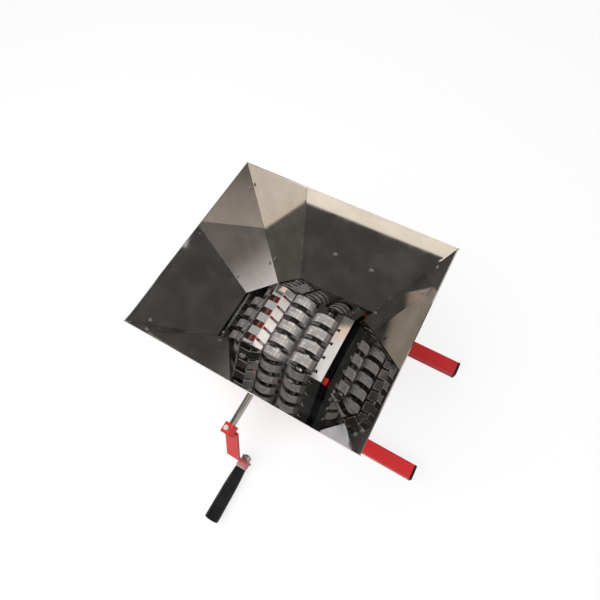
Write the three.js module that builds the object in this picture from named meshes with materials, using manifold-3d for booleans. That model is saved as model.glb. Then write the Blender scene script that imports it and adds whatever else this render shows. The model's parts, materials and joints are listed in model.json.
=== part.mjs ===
// Hand cranked apple scratter: a square stainless hopper over two counter-rotating rollers of hooked blades,
// carried by two long square rails that lie across whatever the crushed fruit falls into.
// Units are millimetres. X runs along the rails, the crank is on the -Y side and +Z is up.
// The origin is the middle of the machine, in the plane of the rails' undersides.

import * as THREE from 'three';
import { mergeVertices } from 'three/addons/utils/BufferGeometryUtils.js';
import Module from 'manifold-3d';

const wasm = await Module();
wasm.setup();

// Driving dimensions: running clearance that touching pieces keep
const FIT = 0.3;

// Driving dimensions: hopper
const MOUTH_LENGTH = 338;
const MOUTH_WIDTH = 300;
const MOUTH_HEIGHT = 290;
const THROAT_LENGTH = 162;
const THROAT_WIDTH = 122.5;
const THROAT_HEIGHT = 118.4;
const SHEET = 1;
const HEM_HEIGHT = 9;
const SEAM_FLANGE = 14;
const SEAM_RIVET_DEPTHS = [0.17, 0.8];
const RIVET_RADIUS = 1.6;
const RIVET_HEAD_RADIUS = 3.2;
const RIVET_HEAD_HEIGHT = 1.5;

// Driving dimensions: rails
const RAIL_LENGTH = 525.4;
const RAIL_SIZE = 25;
const RAIL_WALL = 1.5;
const RAIL_SPACING = 201;
const RAIL_CORNER = 3;
const CAP_THICKNESS = 4;
const CAP_PLUG_DEPTH = 12;
const CAP_PLUG_WALL = 2;

// Driving dimensions: crushing box
const PLATE = 3;
const END_PLATE_GAP = 2.75;
const SIDE_PLATE_GAP = 2.75;
const END_PLATE_BOTTOM = 44;
const SIDE_PLATE_WAIST = 60;
const SADDLE_WIDTH = 22;
const FLANGE_RISE = 12;

// Driving dimensions: rollers
const SHAFT_RADIUS = 6;
const SHAFT_HEIGHT = 86;
const BLADE_RADIUS = 25.2;
const ROLLER_GAP = 1.6;
const BLADE_WIDTH = 17.2;
const BLADE_SPACE = 9.8;
const BLADE_THICKNESS = 3;
const BLADE_BEND = 6;
const BLADE_HUB_RADIUS = 10;
const BLADE_ROOT_ANGLE = 185;
const BLADE_TIP_ANGLE = 26;

// Driving dimensions: bushes, collars and gears
const BUSH_WALL = 3.7;
const BUSH_FLANGE = 3;
const BUSH_FLANGE_RADIUS = 14;
const BUSH_STUB = 1;
const COLLAR_RADIUS = 11;
const COLLAR_LENGTH = 8;
const GEAR_TEETH = 26;
const GEAR_WIDTH = 10;
const GEAR_BACKLASH = 0.4;
const SHAFT_TAIL = 3;

// Driving dimensions: combs
const COMB_SHEET = 1.5;
const COMB_BELOW_THROAT = 2.6;
const LEFT_COMB_CLEARANCE = 9.8;
const LEFT_NOTCH_WIDTH = 12.4;
const NOTCH_OFFSET = 5;
const LEFT_APRON_REACH = 17;
const LEFT_APRON_DROP = 6.6;
const APRON_SLOT_PITCH = 22.8;
const APRON_SLOT_OFFSET = -2.5;
const APRON_SLOT_SLANT = 3.4;
const LEDGE_SETBACK = 2.75;
const LEDGE_DROP = 30;
const COMB_SLOT_WIDTH = 5;
const COMB_SLOT_DEPTH = 6;
const RIGHT_COMB_SETBACK = 12.15;
const RIGHT_COMB_DEPTH = 32;
const RIGHT_COMB_CLEARANCE = 1;
const LUG_WIDTH = 16;
const LUG_DROP = 9;

// Driving dimensions: hopper stays and their bolts
const STAY_WIDTH = 16;
const STAY_THICKNESS = 4;
const STAY_SHAFT_CLEARANCE = 1;
const STAY_FOOT = 18;
const STAY_RUN = 32;
const STAY_INSET = 2;
const STAY_BOLT_RADIUS = 3;
const STAY_HEAD_RADIUS = 5;
const STAY_HEAD_HEIGHT = 2.4;
const STAY_NUT_FLATS = 10;
const STAY_NUT_HEIGHT = 5;

// Driving dimensions: crank and handle
const CRANK_RADIUS = 112;
const CRANK_ANGLE = 14;
const SHAFT_REACH = 202.5;
const HUB_SIZE = 20;
const HUB_LENGTH = 18;
const HUB_CORNER = 5;
const ARM_WIDTH = 25.5;
const ARM_THICKNESS = 5;
const ARM_SETBACK = 6.5;
const ARM_JOGGLE = 31.5;
const ARM_JOGGLE_LENGTH = 52;
const ARM_NECK = 0.5;
const BOSS_RADIUS = 11;
const BOSS_LENGTH = 7.5;
const HUB_SCREW_RADIUS = 2.7;
const HUB_SCREW_FLATS = 8;
const HUB_SCREW_HEAD = 3.5;
const SPINDLE_RADIUS = 4.9;
const SPINDLE_HEAD_RADIUS = 7.5;
const SPINDLE_HEAD_HEIGHT = 4;
const HANDLE_NUT_FLATS = 17;
const HANDLE_NUT_HEIGHT = 8;
const WASHER_RADIUS = 10.5;
const WASHER_THICKNESS = 1.2;
const GRIP_LENGTH = 95;
const GRIP_NECK_RADIUS = 10;
const GRIP_BELLY_RADIUS = 12.2;
const GRIP_END_RADIUS = 12.8;
const GRIP_ROUNDING = 3;
const GRIP_RECESS = 5;

// Facets of round pieces
const ROUND = 28;
const SMALL_ROUND = 12;
const CORNER_STEPS = 3;

// Places worked out from the driving dimensions
const railTop = RAIL_SIZE;
const railOuter = (RAIL_SPACING + RAIL_SIZE) / 2;
const railInner = (RAIL_SPACING - RAIL_SIZE) / 2;
const boxEnd = THROAT_WIDTH / 2 + END_PLATE_GAP;
const boxSide = THROAT_LENGTH / 2 + SIDE_PLATE_GAP;
const shaftSpacing = 2 * BLADE_RADIUS + ROLLER_GAP;
const driveX = -shaftSpacing / 2;
const idlerX = shaftSpacing / 2;
const boreRadius = SHAFT_RADIUS + FIT;
const bushRadius = boreRadius + BUSH_WALL;
const rollerEnd = boxEnd - BUSH_STUB - FIT;
const bushOuterEnd = boxEnd + PLATE + FIT + BUSH_FLANGE;
const combTop = THROAT_HEIGHT - COMB_BELOW_THROAT;
const leftCombBend = driveX - BLADE_RADIUS - LEFT_COMB_CLEARANCE;
const gearStart = bushOuterEnd + FIT;
const gearEnd = gearStart + GEAR_WIDTH;
const armInner = -(SHAFT_REACH - HUB_LENGTH) - ARM_SETBACK;
const armOuter = armInner - ARM_THICKNESS;
const handleInner = armInner - ARM_JOGGLE;
const handleOuter = armOuter - ARM_JOGGLE;
const bossFace = handleOuter - BOSS_LENGTH;

// Finishes
const mirrorSteel = new THREE.MeshStandardMaterial({ color: 0xb8b6b0, roughness: 0.12, metalness: 1 });
const brushedSteel = new THREE.MeshStandardMaterial({ color: 0xa9a8a4, roughness: 0.35, metalness: 1 });
const zincSteel = new THREE.MeshStandardMaterial({ color: 0x8d9190, roughness: 0.45, metalness: 1 });
const redPaint = new THREE.MeshStandardMaterial({ color: 0xcc3034, roughness: 0.35, metalness: 0 });
const blackPlastic = new THREE.MeshStandardMaterial({ color: 0x1c1d1f, roughness: 0.5, metalness: 0 });
const bronze = new THREE.MeshStandardMaterial({ color: 0xa67c3d, roughness: 0.4, metalness: 1 });

const object = new THREE.Group();

function add(name, shape, material, parent = object) {
  const geometry = shape instanceof THREE.BufferGeometry ? shape : geometryOf(shape);
  const mesh = new THREE.Mesh(geometry, material);
  mesh.name = name;
  parent.add(mesh);
}

// Between three.js geometry and solids that can be joined and cut

function solidOf(geometry) {
  const bare = new THREE.BufferGeometry();
  bare.setAttribute('position', geometry.getAttribute('position'));
  bare.setIndex(geometry.getIndex());
  const merged = mergeVertices(bare, 1e-4);
  return new wasm.Manifold(new wasm.Mesh({
    numProp: 3,
    vertProperties: merged.attributes.position.array,
    triVerts: new Uint32Array(merged.index.array),
  }));
}

function geometryOf(solid) {
  const mesh = solid.getMesh();
  const geometry = new THREE.BufferGeometry();
  geometry.setAttribute('position', new THREE.BufferAttribute(new Float32Array(mesh.vertProperties), 3));
  geometry.setIndex(new THREE.BufferAttribute(new Uint32Array(mesh.triVerts), 1));
  geometry.computeVertexNormals();
  return geometry;
}

function join(...solids) {
  return solids.reduce((whole, piece) => whole.add(piece));
}

function box(x0, x1, y0, y1, z0, z1) {
  const geometry = new THREE.BoxGeometry(x1 - x0, y1 - y0, z1 - z0);
  geometry.translate((x0 + x1) / 2, (y0 + y1) / 2, (z0 + z1) / 2);
  return solidOf(geometry);
}

// Outlines and prisms

function shapeOf(points) {
  return new THREE.Shape(points.map(([u, v]) => new THREE.Vector2(u, v)));
}

function extruded(shape, depth, across, up, along, start) {
  const geometry = new THREE.ExtrudeGeometry(shape, { depth, bevelEnabled: false, curveSegments: ROUND / 4 });
  geometry.applyMatrix4(new THREE.Matrix4().makeBasis(across, up, along).setPosition(start));
  return solidOf(geometry);
}

const X = new THREE.Vector3(1, 0, 0);
const Y = new THREE.Vector3(0, 1, 0);
const Z = new THREE.Vector3(0, 0, 1);

// A prism along X of an outline given in Y and Z
function prismAlongX(points, x0, x1) {
  return extruded(shapeOf(points), x1 - x0, Y, Z, X, new THREE.Vector3(x0, 0, 0));
}

// A prism along Y of an outline given in X and Z
function prismAlongY(points, y0, y1) {
  const backwards = Y.clone().negate();
  return extruded(shapeOf(points), y1 - y0, X, Z, backwards, new THREE.Vector3(0, y1, 0));
}

function circlePoints(radius, count, centre = [0, 0], turn = 0) {
  return Array.from({ length: count }, (_, i) => {
    const angle = turn + (2 * Math.PI * i) / count;
    return [centre[0] + radius * Math.cos(angle), centre[1] + radius * Math.sin(angle)];
  });
}

function roundedSquare(size, corner) {
  const half = size / 2 - corner;
  const points = [];
  [[1, 1], [-1, 1], [-1, -1], [1, -1]].forEach(([sx, sy], quarter) => {
    for (let i = 0; i <= CORNER_STEPS; i += 1) {
      const angle = (quarter + i / CORNER_STEPS) * Math.PI / 2;
      points.push([sx * half + corner * Math.cos(angle), sy * half + corner * Math.sin(angle)]);
    }
  });
  return points;
}

function hexagon(flats, centre = [0, 0]) {
  return circlePoints(flats / Math.sqrt(3), 6, centre);
}

// A cylinder about an axis parallel to Y through (x, z)
function rod(radius, y0, y1, x = 0, z = 0, count = ROUND) {
  return prismAlongY(circlePoints(radius, count, [x, z]), y0, y1);
}

// A tube about an axis parallel to Y through (x, z)
function sleeve(outer, inner, y0, y1, x = 0, z = 0) {
  return rod(outer, y0, y1, x, z).subtract(rod(inner, y0 - 1, y1 + 1, x, z));
}

// A turned piece: profile points are [radius, distance along the axis], and the axis starts at origin
function turned(profile, origin, direction, count = SMALL_ROUND) {
  const geometry = new THREE.LatheGeometry(profile.map(([r, h]) => new THREE.Vector2(r, h)), count);
  geometry.applyQuaternion(new THREE.Quaternion().setFromUnitVectors(Y, direction));
  geometry.translate(origin.x, origin.y, origin.z);
  return solidOf(geometry);
}

// Hopper walls: each is a plane that slopes from the mouth down to the throat

const hopperDepth = MOUTH_HEIGHT - THROAT_HEIGHT;

function slopedWall(outward, mouthHalf, throatHalf) {
  const run = mouthHalf - throatHalf;
  const length = Math.hypot(run, hopperDepth);
  const normal = outward.clone().multiplyScalar(hopperDepth).addScaledVector(Z, -run).divideScalar(length);
  const throatPoint = outward.clone().multiplyScalar(throatHalf).addScaledVector(Z, THROAT_HEIGHT);
  const upSlope = outward.clone().multiplyScalar(run).addScaledVector(Z, hopperDepth).divideScalar(length);
  return { outward, normal, offset: normal.dot(throatPoint), upSlope, throatHalf, mouthHalf };
}

const walls = {
  front: slopedWall(Y.clone().negate(), MOUTH_WIDTH / 2, THROAT_WIDTH / 2),
  rear: slopedWall(Y.clone(), MOUTH_WIDTH / 2, THROAT_WIDTH / 2),
  left: slopedWall(X.clone().negate(), MOUTH_LENGTH / 2, THROAT_LENGTH / 2),
  right: slopedWall(X.clone(), MOUTH_LENGTH / 2, THROAT_LENGTH / 2),
};

// Keeps what lies on the outward side of a wall's inner face moved out by distance, or with inside, what lies
// on the hopper's side of it
function outsideOf(solid, wall, distance) {
  return solid.trimByPlane(wall.normal.toArray(), wall.offset + distance);
}

function insideOf(solid, wall, distance) {
  return solid.trimByPlane(wall.normal.clone().negate().toArray(), -(wall.offset + distance));
}

function within(solid, pair, distance) {
  return insideOf(insideOf(solid, pair[0], distance), pair[1], distance);
}

function stock(z0, z1) {
  return box(-MOUTH_LENGTH, MOUTH_LENGTH, -MOUTH_WIDTH, MOUTH_WIDTH, z0, z1);
}

// A sheet that lies between two distances from a wall's inner face
function layer(wall, from, to, z0, z1) {
  return insideOf(outsideOf(stock(z0, z1), wall, from), wall, to);
}

const hemBottom = MOUTH_HEIGHT - HEM_HEIGHT;
const flangeInner = SHEET + FIT;
const flangeOuter = flangeInner + SHEET;

// The front and rear walls wrap round the corners with a seam flange behind each side wall
function wrappingWall(wall) {
  const sides = [walls.left, walls.right];
  const sheet = within(layer(wall, 0, SHEET, THROAT_HEIGHT, MOUTH_HEIGHT), sides, flangeOuter);
  const hem = within(layer(wall, -SHEET, SHEET / 2, hemBottom, MOUTH_HEIGHT), sides, -FIT);
  const flanges = sides.map((side) => {
    const strip = layer(side, flangeInner, flangeOuter, THROAT_HEIGHT + HEM_HEIGHT, hemBottom);
    return insideOf(outsideOf(strip, wall, -SEAM_FLANGE), wall, SHEET);
  });
  return join(sheet, hem, ...flanges);
}

// The side walls stand between the front and rear walls
function standingWall(wall) {
  const ends = [walls.front, walls.rear];
  const sheet = within(layer(wall, 0, SHEET, THROAT_HEIGHT, MOUTH_HEIGHT), ends, -FIT);
  const hem = within(layer(wall, -SHEET, SHEET / 2, hemBottom, MOUTH_HEIGHT), ends, -FIT - SHEET);
  return join(sheet, hem);
}

// Where the hopper's corner seam stands, as a share of the way down from the mouth
function seamPoint(side, end, share) {
  const reach = (wall) => wall.mouthHalf + (wall.throatHalf - wall.mouthHalf) * share;
  const height = MOUTH_HEIGHT - hopperDepth * share;
  return side.outward.clone().multiplyScalar(reach(side))
    .addScaledVector(end.outward, reach(end))
    .addScaledVector(Z, height);
}

// A rivet's place: in the side wall, at the middle of the seam flange behind it
function rivetPoint(side, end, share) {
  const seam = seamPoint(side, end, 1).sub(seamPoint(side, end, 0)).normalize();
  const inward = new THREE.Vector3().crossVectors(seam, side.normal);
  if (inward.dot(end.outward) > 0) inward.negate();
  return seamPoint(side, end, share).addScaledVector(inward, SEAM_FLANGE / 2);
}

const rivetLength = 2 * SHEET + FIT;

function rivetProfile() {
  const tail = rivetLength + FIT;
  return [
    [0, -RIVET_HEAD_HEIGHT],
    [RIVET_HEAD_RADIUS * 0.6, -RIVET_HEAD_HEIGHT * 0.85],
    [RIVET_HEAD_RADIUS, -FIT],
    [RIVET_RADIUS, -FIT],
    [RIVET_RADIUS, tail],
    [RIVET_HEAD_RADIUS * 0.8, tail],
    [RIVET_HEAD_RADIUS * 0.6, tail + RIVET_HEAD_HEIGHT],
    [0, tail + RIVET_HEAD_HEIGHT],
  ];
}

function holeThrough(point, direction, radius, depth) {
  const start = point.clone().addScaledVector(direction, -depth);
  return turned([[0, 0], [radius, 0], [radius, 2 * depth], [0, 2 * depth]], start, direction);
}

const wallSolids = {
  front: wrappingWall(walls.front),
  rear: wrappingWall(walls.rear),
  left: standingWall(walls.left),
  right: standingWall(walls.right),
};

for (const end of ['front', 'rear']) {
  for (const side of ['left', 'right']) {
    SEAM_RIVET_DEPTHS.forEach((share, i) => {
      const point = rivetPoint(walls[side], walls[end], share);
      const hole = holeThrough(point, walls[side].normal, RIVET_RADIUS + FIT, 2 * rivetLength);
      wallSolids[side] = wallSolids[side].subtract(hole);
      wallSolids[end] = wallSolids[end].subtract(hole);
      const rivet = turned(rivetProfile(), point, walls[side].normal);
      add(`seam_rivet_${end}_${side}_${i + 1}`, rivet, zincSteel);
    });
  }
}

// Rails and their end caps

function outlineWithHole(outer, inner) {
  const shape = shapeOf(outer);
  shape.holes.push(new THREE.Path(inner.map(([u, v]) => new THREE.Vector2(u, v))));
  return shape;
}

for (const [name, y] of [['front', -RAIL_SPACING / 2], ['rear', RAIL_SPACING / 2]]) {
  const centred = (points) => points.map(([u, v]) => [u + y, v + RAIL_SIZE / 2]);
  const outer = centred(roundedSquare(RAIL_SIZE, RAIL_CORNER));
  const bore = centred(roundedSquare(RAIL_SIZE - 2 * RAIL_WALL, RAIL_CORNER - RAIL_WALL));
  const start = new THREE.Vector3(-RAIL_LENGTH / 2, 0, 0);
  add(`rail_${name}`, extruded(outlineWithHole(outer, bore), RAIL_LENGTH, Y, Z, X, start), redPaint);

  const plugSize = RAIL_SIZE - 2 * RAIL_WALL - 2 * FIT;
  const plugCorner = RAIL_CORNER - RAIL_WALL;
  const plugOuter = centred(roundedSquare(plugSize, plugCorner));
  const plugInner = centred(roundedSquare(plugSize - 2 * CAP_PLUG_WALL, plugCorner));
  for (const [side, sign] of [['left', -1], ['right', 1]]) {
    const face = sign * (RAIL_LENGTH / 2 + FIT);
    const outside = sign * (RAIL_LENGTH / 2 + FIT + CAP_THICKNESS);
    const inside = sign * (RAIL_LENGTH / 2 - CAP_PLUG_DEPTH);
    const head = prismAlongX(outer, Math.min(face, outside), Math.max(face, outside));
    const root = Math.min(inside, face + sign);
    const plugStart = new THREE.Vector3(root, 0, 0);
    const plugLength = CAP_PLUG_DEPTH + FIT + 1;
    const plug = extruded(outlineWithHole(plugOuter, plugInner), plugLength, Y, Z, X, plugStart);
    add(`rail_cap_${name}_${side}`, join(head, plug), blackPlastic);
  }
}

// Side plates of the crushing box: a web that stands on both rails, with a foot on each rail and a saddle
// under the hopper's side wall

const plateFoot = railTop + FIT;
const sidePlateEnd = boxEnd + PLATE + FIT;
const saddleHalf = THROAT_WIDTH / 2 - SEAM_FLANGE;

function sidePlate(wall) {
  const sign = wall.outward.x;
  const span = (a, b) => [Math.min(sign * a, sign * b), Math.max(sign * a, sign * b)];
  const [x0, x1] = span(boxSide, boxSide + PLATE);
  const web = prismAlongX([
    [-railOuter, plateFoot],
    [railOuter, plateFoot],
    [railOuter, plateFoot + 4 * PLATE],
    [sidePlateEnd, SIDE_PLATE_WAIST],
    [sidePlateEnd, THROAT_HEIGHT - FIT],
    [-sidePlateEnd, THROAT_HEIGHT - FIT],
    [-sidePlateEnd, SIDE_PLATE_WAIST],
    [-railOuter, plateFoot + 4 * PLATE],
  ], x0, x1);
  const crest = outsideOf(
    box(x0, x1, -saddleHalf, saddleHalf, THROAT_HEIGHT - PLATE, THROAT_HEIGHT + FLANGE_RISE),
    wall,
    SHEET + FIT,
  );
  const [f0, f1] = span(boxSide, boxSide + SADDLE_WIDTH);
  const feet = [-1, 1].map((end) => {
    const [y0, y1] = [Math.min(end * railInner, end * railOuter), Math.max(end * railInner, end * railOuter)];
    return box(f0, f1, y0, y1, plateFoot, plateFoot + PLATE);
  });
  const saddle = layer(wall, SHEET + FIT, SHEET + FIT + PLATE, THROAT_HEIGHT, THROAT_HEIGHT + FLANGE_RISE)
    .intersect(box(f0, f1, -saddleHalf, saddleHalf, 0, MOUTH_HEIGHT));
  return join(web, crest, saddle, ...feet);
}

// Each plate also has a ledge inside: the left one catches what falls through the left comb, and the right
// comb stands on the right one
const rightCombStart = idlerX + BLADE_RADIUS + RIGHT_COMB_CLEARANCE;
const rightCombEnd = boxSide - RIGHT_COMB_SETBACK;
const rightCombFoot = combTop - RIGHT_COMB_DEPTH;

function ledge(x0, x1, top) {
  return box(x0, x1, -boxEnd + FIT, boxEnd - FIT, top - PLATE, top);
}

const leftLedgeTop = combTop - COMB_SHEET - LEDGE_DROP;
const leftLedge = ledge(-boxSide - PLATE / 2, leftCombBend - LEDGE_SETBACK, leftLedgeTop);
const rightLedge = ledge(rightCombStart, boxSide + PLATE / 2, rightCombFoot - FIT);
add('side_plate_left', join(sidePlate(walls.left), leftLedge), redPaint);
add('side_plate_right', join(sidePlate(walls.right), rightLedge), redPaint);

// End plates of the crushing box: they carry the bushes, and a flange along the top carries the hopper

function endPlate(wall) {
  const sign = wall.outward.y;
  const [y0, y1] = sign > 0 ? [boxEnd, boxEnd + PLATE] : [-boxEnd - PLATE, -boxEnd];
  const half = boxSide - FIT;
  const top = THROAT_HEIGHT + FLANGE_RISE;
  const sheet = outsideOf(box(-half, half, y0, y1, END_PLATE_BOTTOM, top), wall, SHEET + FIT);
  const flange = layer(wall, SHEET + FIT, SHEET + FIT + PLATE, THROAT_HEIGHT - PLATE, top)
    .intersect(box(-half + SADDLE_WIDTH / 2, half - SADDLE_WIDTH / 2, -MOUTH_WIDTH, MOUTH_WIDTH, 0, top));
  const inward = [0, sign, 0];
  return join(sheet, flange.trimByPlane(inward, boxEnd))
    .subtract(rod(bushRadius + FIT, y0 - 1, y1 + 1, driveX, SHAFT_HEIGHT))
    .subtract(rod(bushRadius + FIT, y0 - 1, y1 + 1, idlerX, SHAFT_HEIGHT));
}

const lug = box(
  rightCombEnd + FIT,
  boxSide - FIT,
  -boxEnd - PLATE / 2,
  -boxEnd + LUG_WIDTH,
  combTop - LUG_DROP - PLATE,
  combTop - LUG_DROP,
);
add('end_plate_front', join(endPlate(walls.front), lug), redPaint);
add('end_plate_rear', endPlate(walls.rear), redPaint);

// Bushes: flanged sleeves pushed into the end plates from outside

function bush(x, sign) {
  const span = (a, b) => [Math.min(sign * a, sign * b), Math.max(sign * a, sign * b)];
  const barrel = rod(bushRadius, ...span(boxEnd - BUSH_STUB, bushOuterEnd), x, SHAFT_HEIGHT);
  const flange = rod(BUSH_FLANGE_RADIUS, ...span(boxEnd + PLATE + FIT, bushOuterEnd), x, SHAFT_HEIGHT);
  const bore = rod(boreRadius, ...span(0, 2 * boxEnd), x, SHAFT_HEIGHT);
  return join(barrel, flange).subtract(bore);
}

for (const [roller, x] of [['drive', driveX], ['idler', idlerX]]) {
  add(`bush_front_${roller}`, bush(x, -1), bronze);
  add(`bush_rear_${roller}`, bush(x, 1), bronze);
}

// Combs: bent sheets that lead the fruit to the rollers

const bladePitch = BLADE_WIDTH + BLADE_SPACE;

function slotCentres(pitch, offset) {
  const count = Math.ceil(2 * boxEnd / pitch) + 1;
  return Array.from({ length: count }, (_, i) => offset + (i - Math.floor(count / 2)) * pitch)
    .filter((y) => Math.abs(y) < boxEnd - COMB_SLOT_WIDTH);
}

// The left comb has a flat shelf with notches, then an apron that slopes down towards the blades. Slanted
// slots part the apron's teeth.
function leftComb() {
  const outer = -boxSide + FIT;
  const half = boxEnd - FIT;
  const slope = Math.atan2(LEFT_APRON_DROP, LEFT_APRON_REACH);
  const apronEnd = leftCombBend + LEFT_APRON_REACH;
  const apronFoot = combTop - LEFT_APRON_DROP;
  let comb = prismAlongY([
    [outer, combTop],
    [leftCombBend, combTop],
    [apronEnd, apronFoot],
    [apronEnd - COMB_SHEET * Math.sin(slope), apronFoot - COMB_SHEET * Math.cos(slope)],
    [leftCombBend - COMB_SHEET * Math.tan(slope / 2), combTop - COMB_SHEET],
    [outer, combTop - COMB_SHEET],
  ], -half, half);
  for (const y of slotCentres(bladePitch, NOTCH_OFFSET)) {
    const halfNotch = LEFT_NOTCH_WIDTH / 2;
    const notchEnd = leftCombBend - 1;
    const notchBottom = combTop - 2 * COMB_SHEET;
    const notch = box(outer - 1, notchEnd, y - halfNotch, y + halfNotch, notchBottom, combTop + 1);
    comb = comb.subtract(notch);
  }
  const slotDepth = LEFT_APRON_DROP + 4 * COMB_SHEET;
  for (const y of slotCentres(APRON_SLOT_PITCH, APRON_SLOT_OFFSET)) {
    const halfSlot = COMB_SLOT_WIDTH / 2;
    const halfSlant = APRON_SLOT_SLANT / 2;
    const slot = shapeOf([
      [leftCombBend + FIT, y + halfSlant - halfSlot],
      [apronEnd + 1, y - halfSlant - halfSlot],
      [apronEnd + 1, y - halfSlant + halfSlot],
      [leftCombBend + FIT, y + halfSlant + halfSlot],
    ]);
    const bottom = new THREE.Vector3(0, 0, combTop - slotDepth);
    comb = comb.subtract(extruded(slot, slotDepth + 1, X, Y, Z, bottom));
  }
  return comb;
}

function rightComb() {
  const half = boxEnd - FIT;
  let comb = prismAlongY([
    [rightCombStart, rightCombFoot],
    [rightCombStart + COMB_SHEET, rightCombFoot],
    [rightCombStart + COMB_SHEET, combTop - COMB_SHEET],
    [rightCombEnd - COMB_SHEET, combTop - COMB_SHEET],
    [rightCombEnd - COMB_SHEET, rightCombFoot],
    [rightCombEnd, rightCombFoot],
    [rightCombEnd, combTop],
    [rightCombStart, combTop],
  ], -half, half);
  for (const y of slotCentres(bladePitch, NOTCH_OFFSET)) {
    const halfSlot = COMB_SLOT_WIDTH / 2;
    const slotBottom = combTop - RIGHT_COMB_DEPTH / 2;
    const slotEnd = rightCombStart + COMB_SLOT_DEPTH;
    const slot = box(rightCombStart - 1, slotEnd, y - halfSlot, y + halfSlot, slotBottom, combTop + 1);
    comb = comb.subtract(slot);
  }
  return comb;
}

add('comb_left', leftComb(), mirrorSteel);
add('comb_right', rightComb(), mirrorSteel);

// Hopper stays: flat bars from the rails up to the front and rear walls, each bent to lie along its wall.
// The front ones are bolted through the wall, the rear ones are welded to it.

const stayX = -driveX + SHAFT_RADIUS + STAY_SHAFT_CLEARANCE + STAY_WIDTH / 2;
const stayInner = railInner + STAY_INSET;
const stayOuter = stayInner + STAY_THICKNESS;
const stayGap = SHEET + FIT;

// The height at which the face at a distance behind a wall stands at a given reach from the middle
function heightOnWall(wall, distance, reach) {
  return (wall.offset + distance - wall.normal.dot(wall.outward) * reach) / wall.normal.z;
}

const stayBend = heightOnWall(walls.front, stayGap, stayInner);
const stayTop = stayBend + STAY_RUN;
const stayMiddle = (stayBend + stayTop) / 2;

function hopperStay(wall, centreX) {
  const sign = wall.outward.y;
  const column = (reach0, reach1, z0, z1) => box(
    centreX - STAY_WIDTH / 2,
    centreX + STAY_WIDTH / 2,
    Math.min(sign * reach0, sign * reach1),
    Math.max(sign * reach0, sign * reach1),
    z0,
    z1,
  );
  const foot = column(stayInner, stayInner + STAY_FOOT, plateFoot, plateFoot + STAY_THICKNESS);
  const upright = outsideOf(column(stayInner, stayOuter, plateFoot, stayTop), wall, stayGap);
  const slope = layer(wall, stayGap, stayGap + STAY_THICKNESS, stayBend - STAY_THICKNESS, stayTop)
    .intersect(column(stayInner, MOUTH_WIDTH / 2, plateFoot, stayTop));
  return join(foot, upright, slope);
}

// A point on a wall's inner face
function wallPoint(wall, x, height) {
  return new THREE.Vector3(x, wall.outward.y * (wall.throatHalf + reachAt(wall, height)), height);
}

function reachAt(wall, height) {
  return (wall.mouthHalf - wall.throatHalf) * (height - THROAT_HEIGHT) / hopperDepth;
}

const boltGrip = stayGap + STAY_THICKNESS;

function stayBolt(point, direction) {
  const end = boltGrip + STAY_NUT_HEIGHT + 2 * FIT + STAY_BOLT_RADIUS / 2;
  return turned([
    [0, -FIT - STAY_HEAD_HEIGHT],
    [STAY_HEAD_RADIUS * 0.7, -FIT - STAY_HEAD_HEIGHT],
    [STAY_HEAD_RADIUS, -FIT - STAY_HEAD_HEIGHT / 2],
    [STAY_HEAD_RADIUS, -FIT],
    [STAY_BOLT_RADIUS, -FIT],
    [STAY_BOLT_RADIUS, end],
    [0, end],
  ], point, direction);
}

// A hexagon nut about a bolt: distance is measured from point along direction to the nut's near face
function hexNut(flats, boreR, height, point, direction, distance) {
  const shape = outlineWithHole(hexagon(flats), circlePoints(boreR, SMALL_ROUND));
  const geometry = new THREE.ExtrudeGeometry(shape, { depth: height, bevelEnabled: false });
  geometry.translate(0, 0, distance);
  geometry.applyQuaternion(new THREE.Quaternion().setFromUnitVectors(Z, direction));
  geometry.translate(point.x, point.y, point.z);
  return solidOf(geometry);
}

for (const [side, centreX] of [['left', -stayX], ['right', stayX]]) {
  const point = wallPoint(walls.front, centreX, stayMiddle);
  const direction = walls.front.normal;
  const hole = holeThrough(point, direction, STAY_BOLT_RADIUS + FIT, 2 * boltGrip);
  wallSolids.front = wallSolids.front.subtract(hole);
  const seat = boltGrip + FIT;
  const nut = hexNut(STAY_NUT_FLATS, STAY_BOLT_RADIUS + FIT, STAY_NUT_HEIGHT, point, direction, seat);
  add(`stay_front_${side}`, hopperStay(walls.front, centreX).subtract(hole), redPaint);
  add(`stay_rear_${side}`, hopperStay(walls.rear, centreX), redPaint);
  add(`stay_bolt_${side}`, stayBolt(point, direction), zincSteel);
  add(`stay_nut_${side}`, nut, zincSteel);
}

add('hopper_front_wall', wallSolids.front, mirrorSteel);
add('hopper_rear_wall', wallSolids.rear, mirrorSteel);
add('hopper_left_wall', wallSolids.left, mirrorSteel);
add('hopper_right_wall', wallSolids.right, mirrorSteel);

// Rollers: hooked blades on two shafts, staggered by half a pitch so that each roller's blades face the
// other's spaces

const radians = THREE.MathUtils.degToRad;

// The middle line of one hook: out from the hub along a radius, round a bend, then along the blade's rim
function hookLine(rootAngle, tipAngle) {
  const rim = BLADE_RADIUS - BLADE_THICKNESS / 2;
  const bendReach = rim - BLADE_BEND;
  const swing = Math.asin(BLADE_BEND / bendReach);
  const root = radians(rootAngle);
  const polar = (radius, angle) => [radius * Math.cos(angle), radius * Math.sin(angle)];
  const bendCentre = polar(bendReach, root - swing);
  const points = [polar(BLADE_HUB_RADIUS - BLADE_THICKNESS, root), polar(bendReach * Math.cos(swing), root)];
  for (let i = 1; i <= CORNER_STEPS; i += 1) {
    const angle = root + Math.PI / 2 - (Math.PI / 2 + swing) * (i / CORNER_STEPS);
    points.push([bendCentre[0] + BLADE_BEND * Math.cos(angle), bendCentre[1] + BLADE_BEND * Math.sin(angle)]);
  }
  const rimSteps = 11;
  for (let i = 1; i <= rimSteps; i += 1) {
    const share = i / rimSteps;
    points.push(polar(rim, (root - swing) * (1 - share) + radians(tipAngle) * share));
  }
  return points;
}

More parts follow.
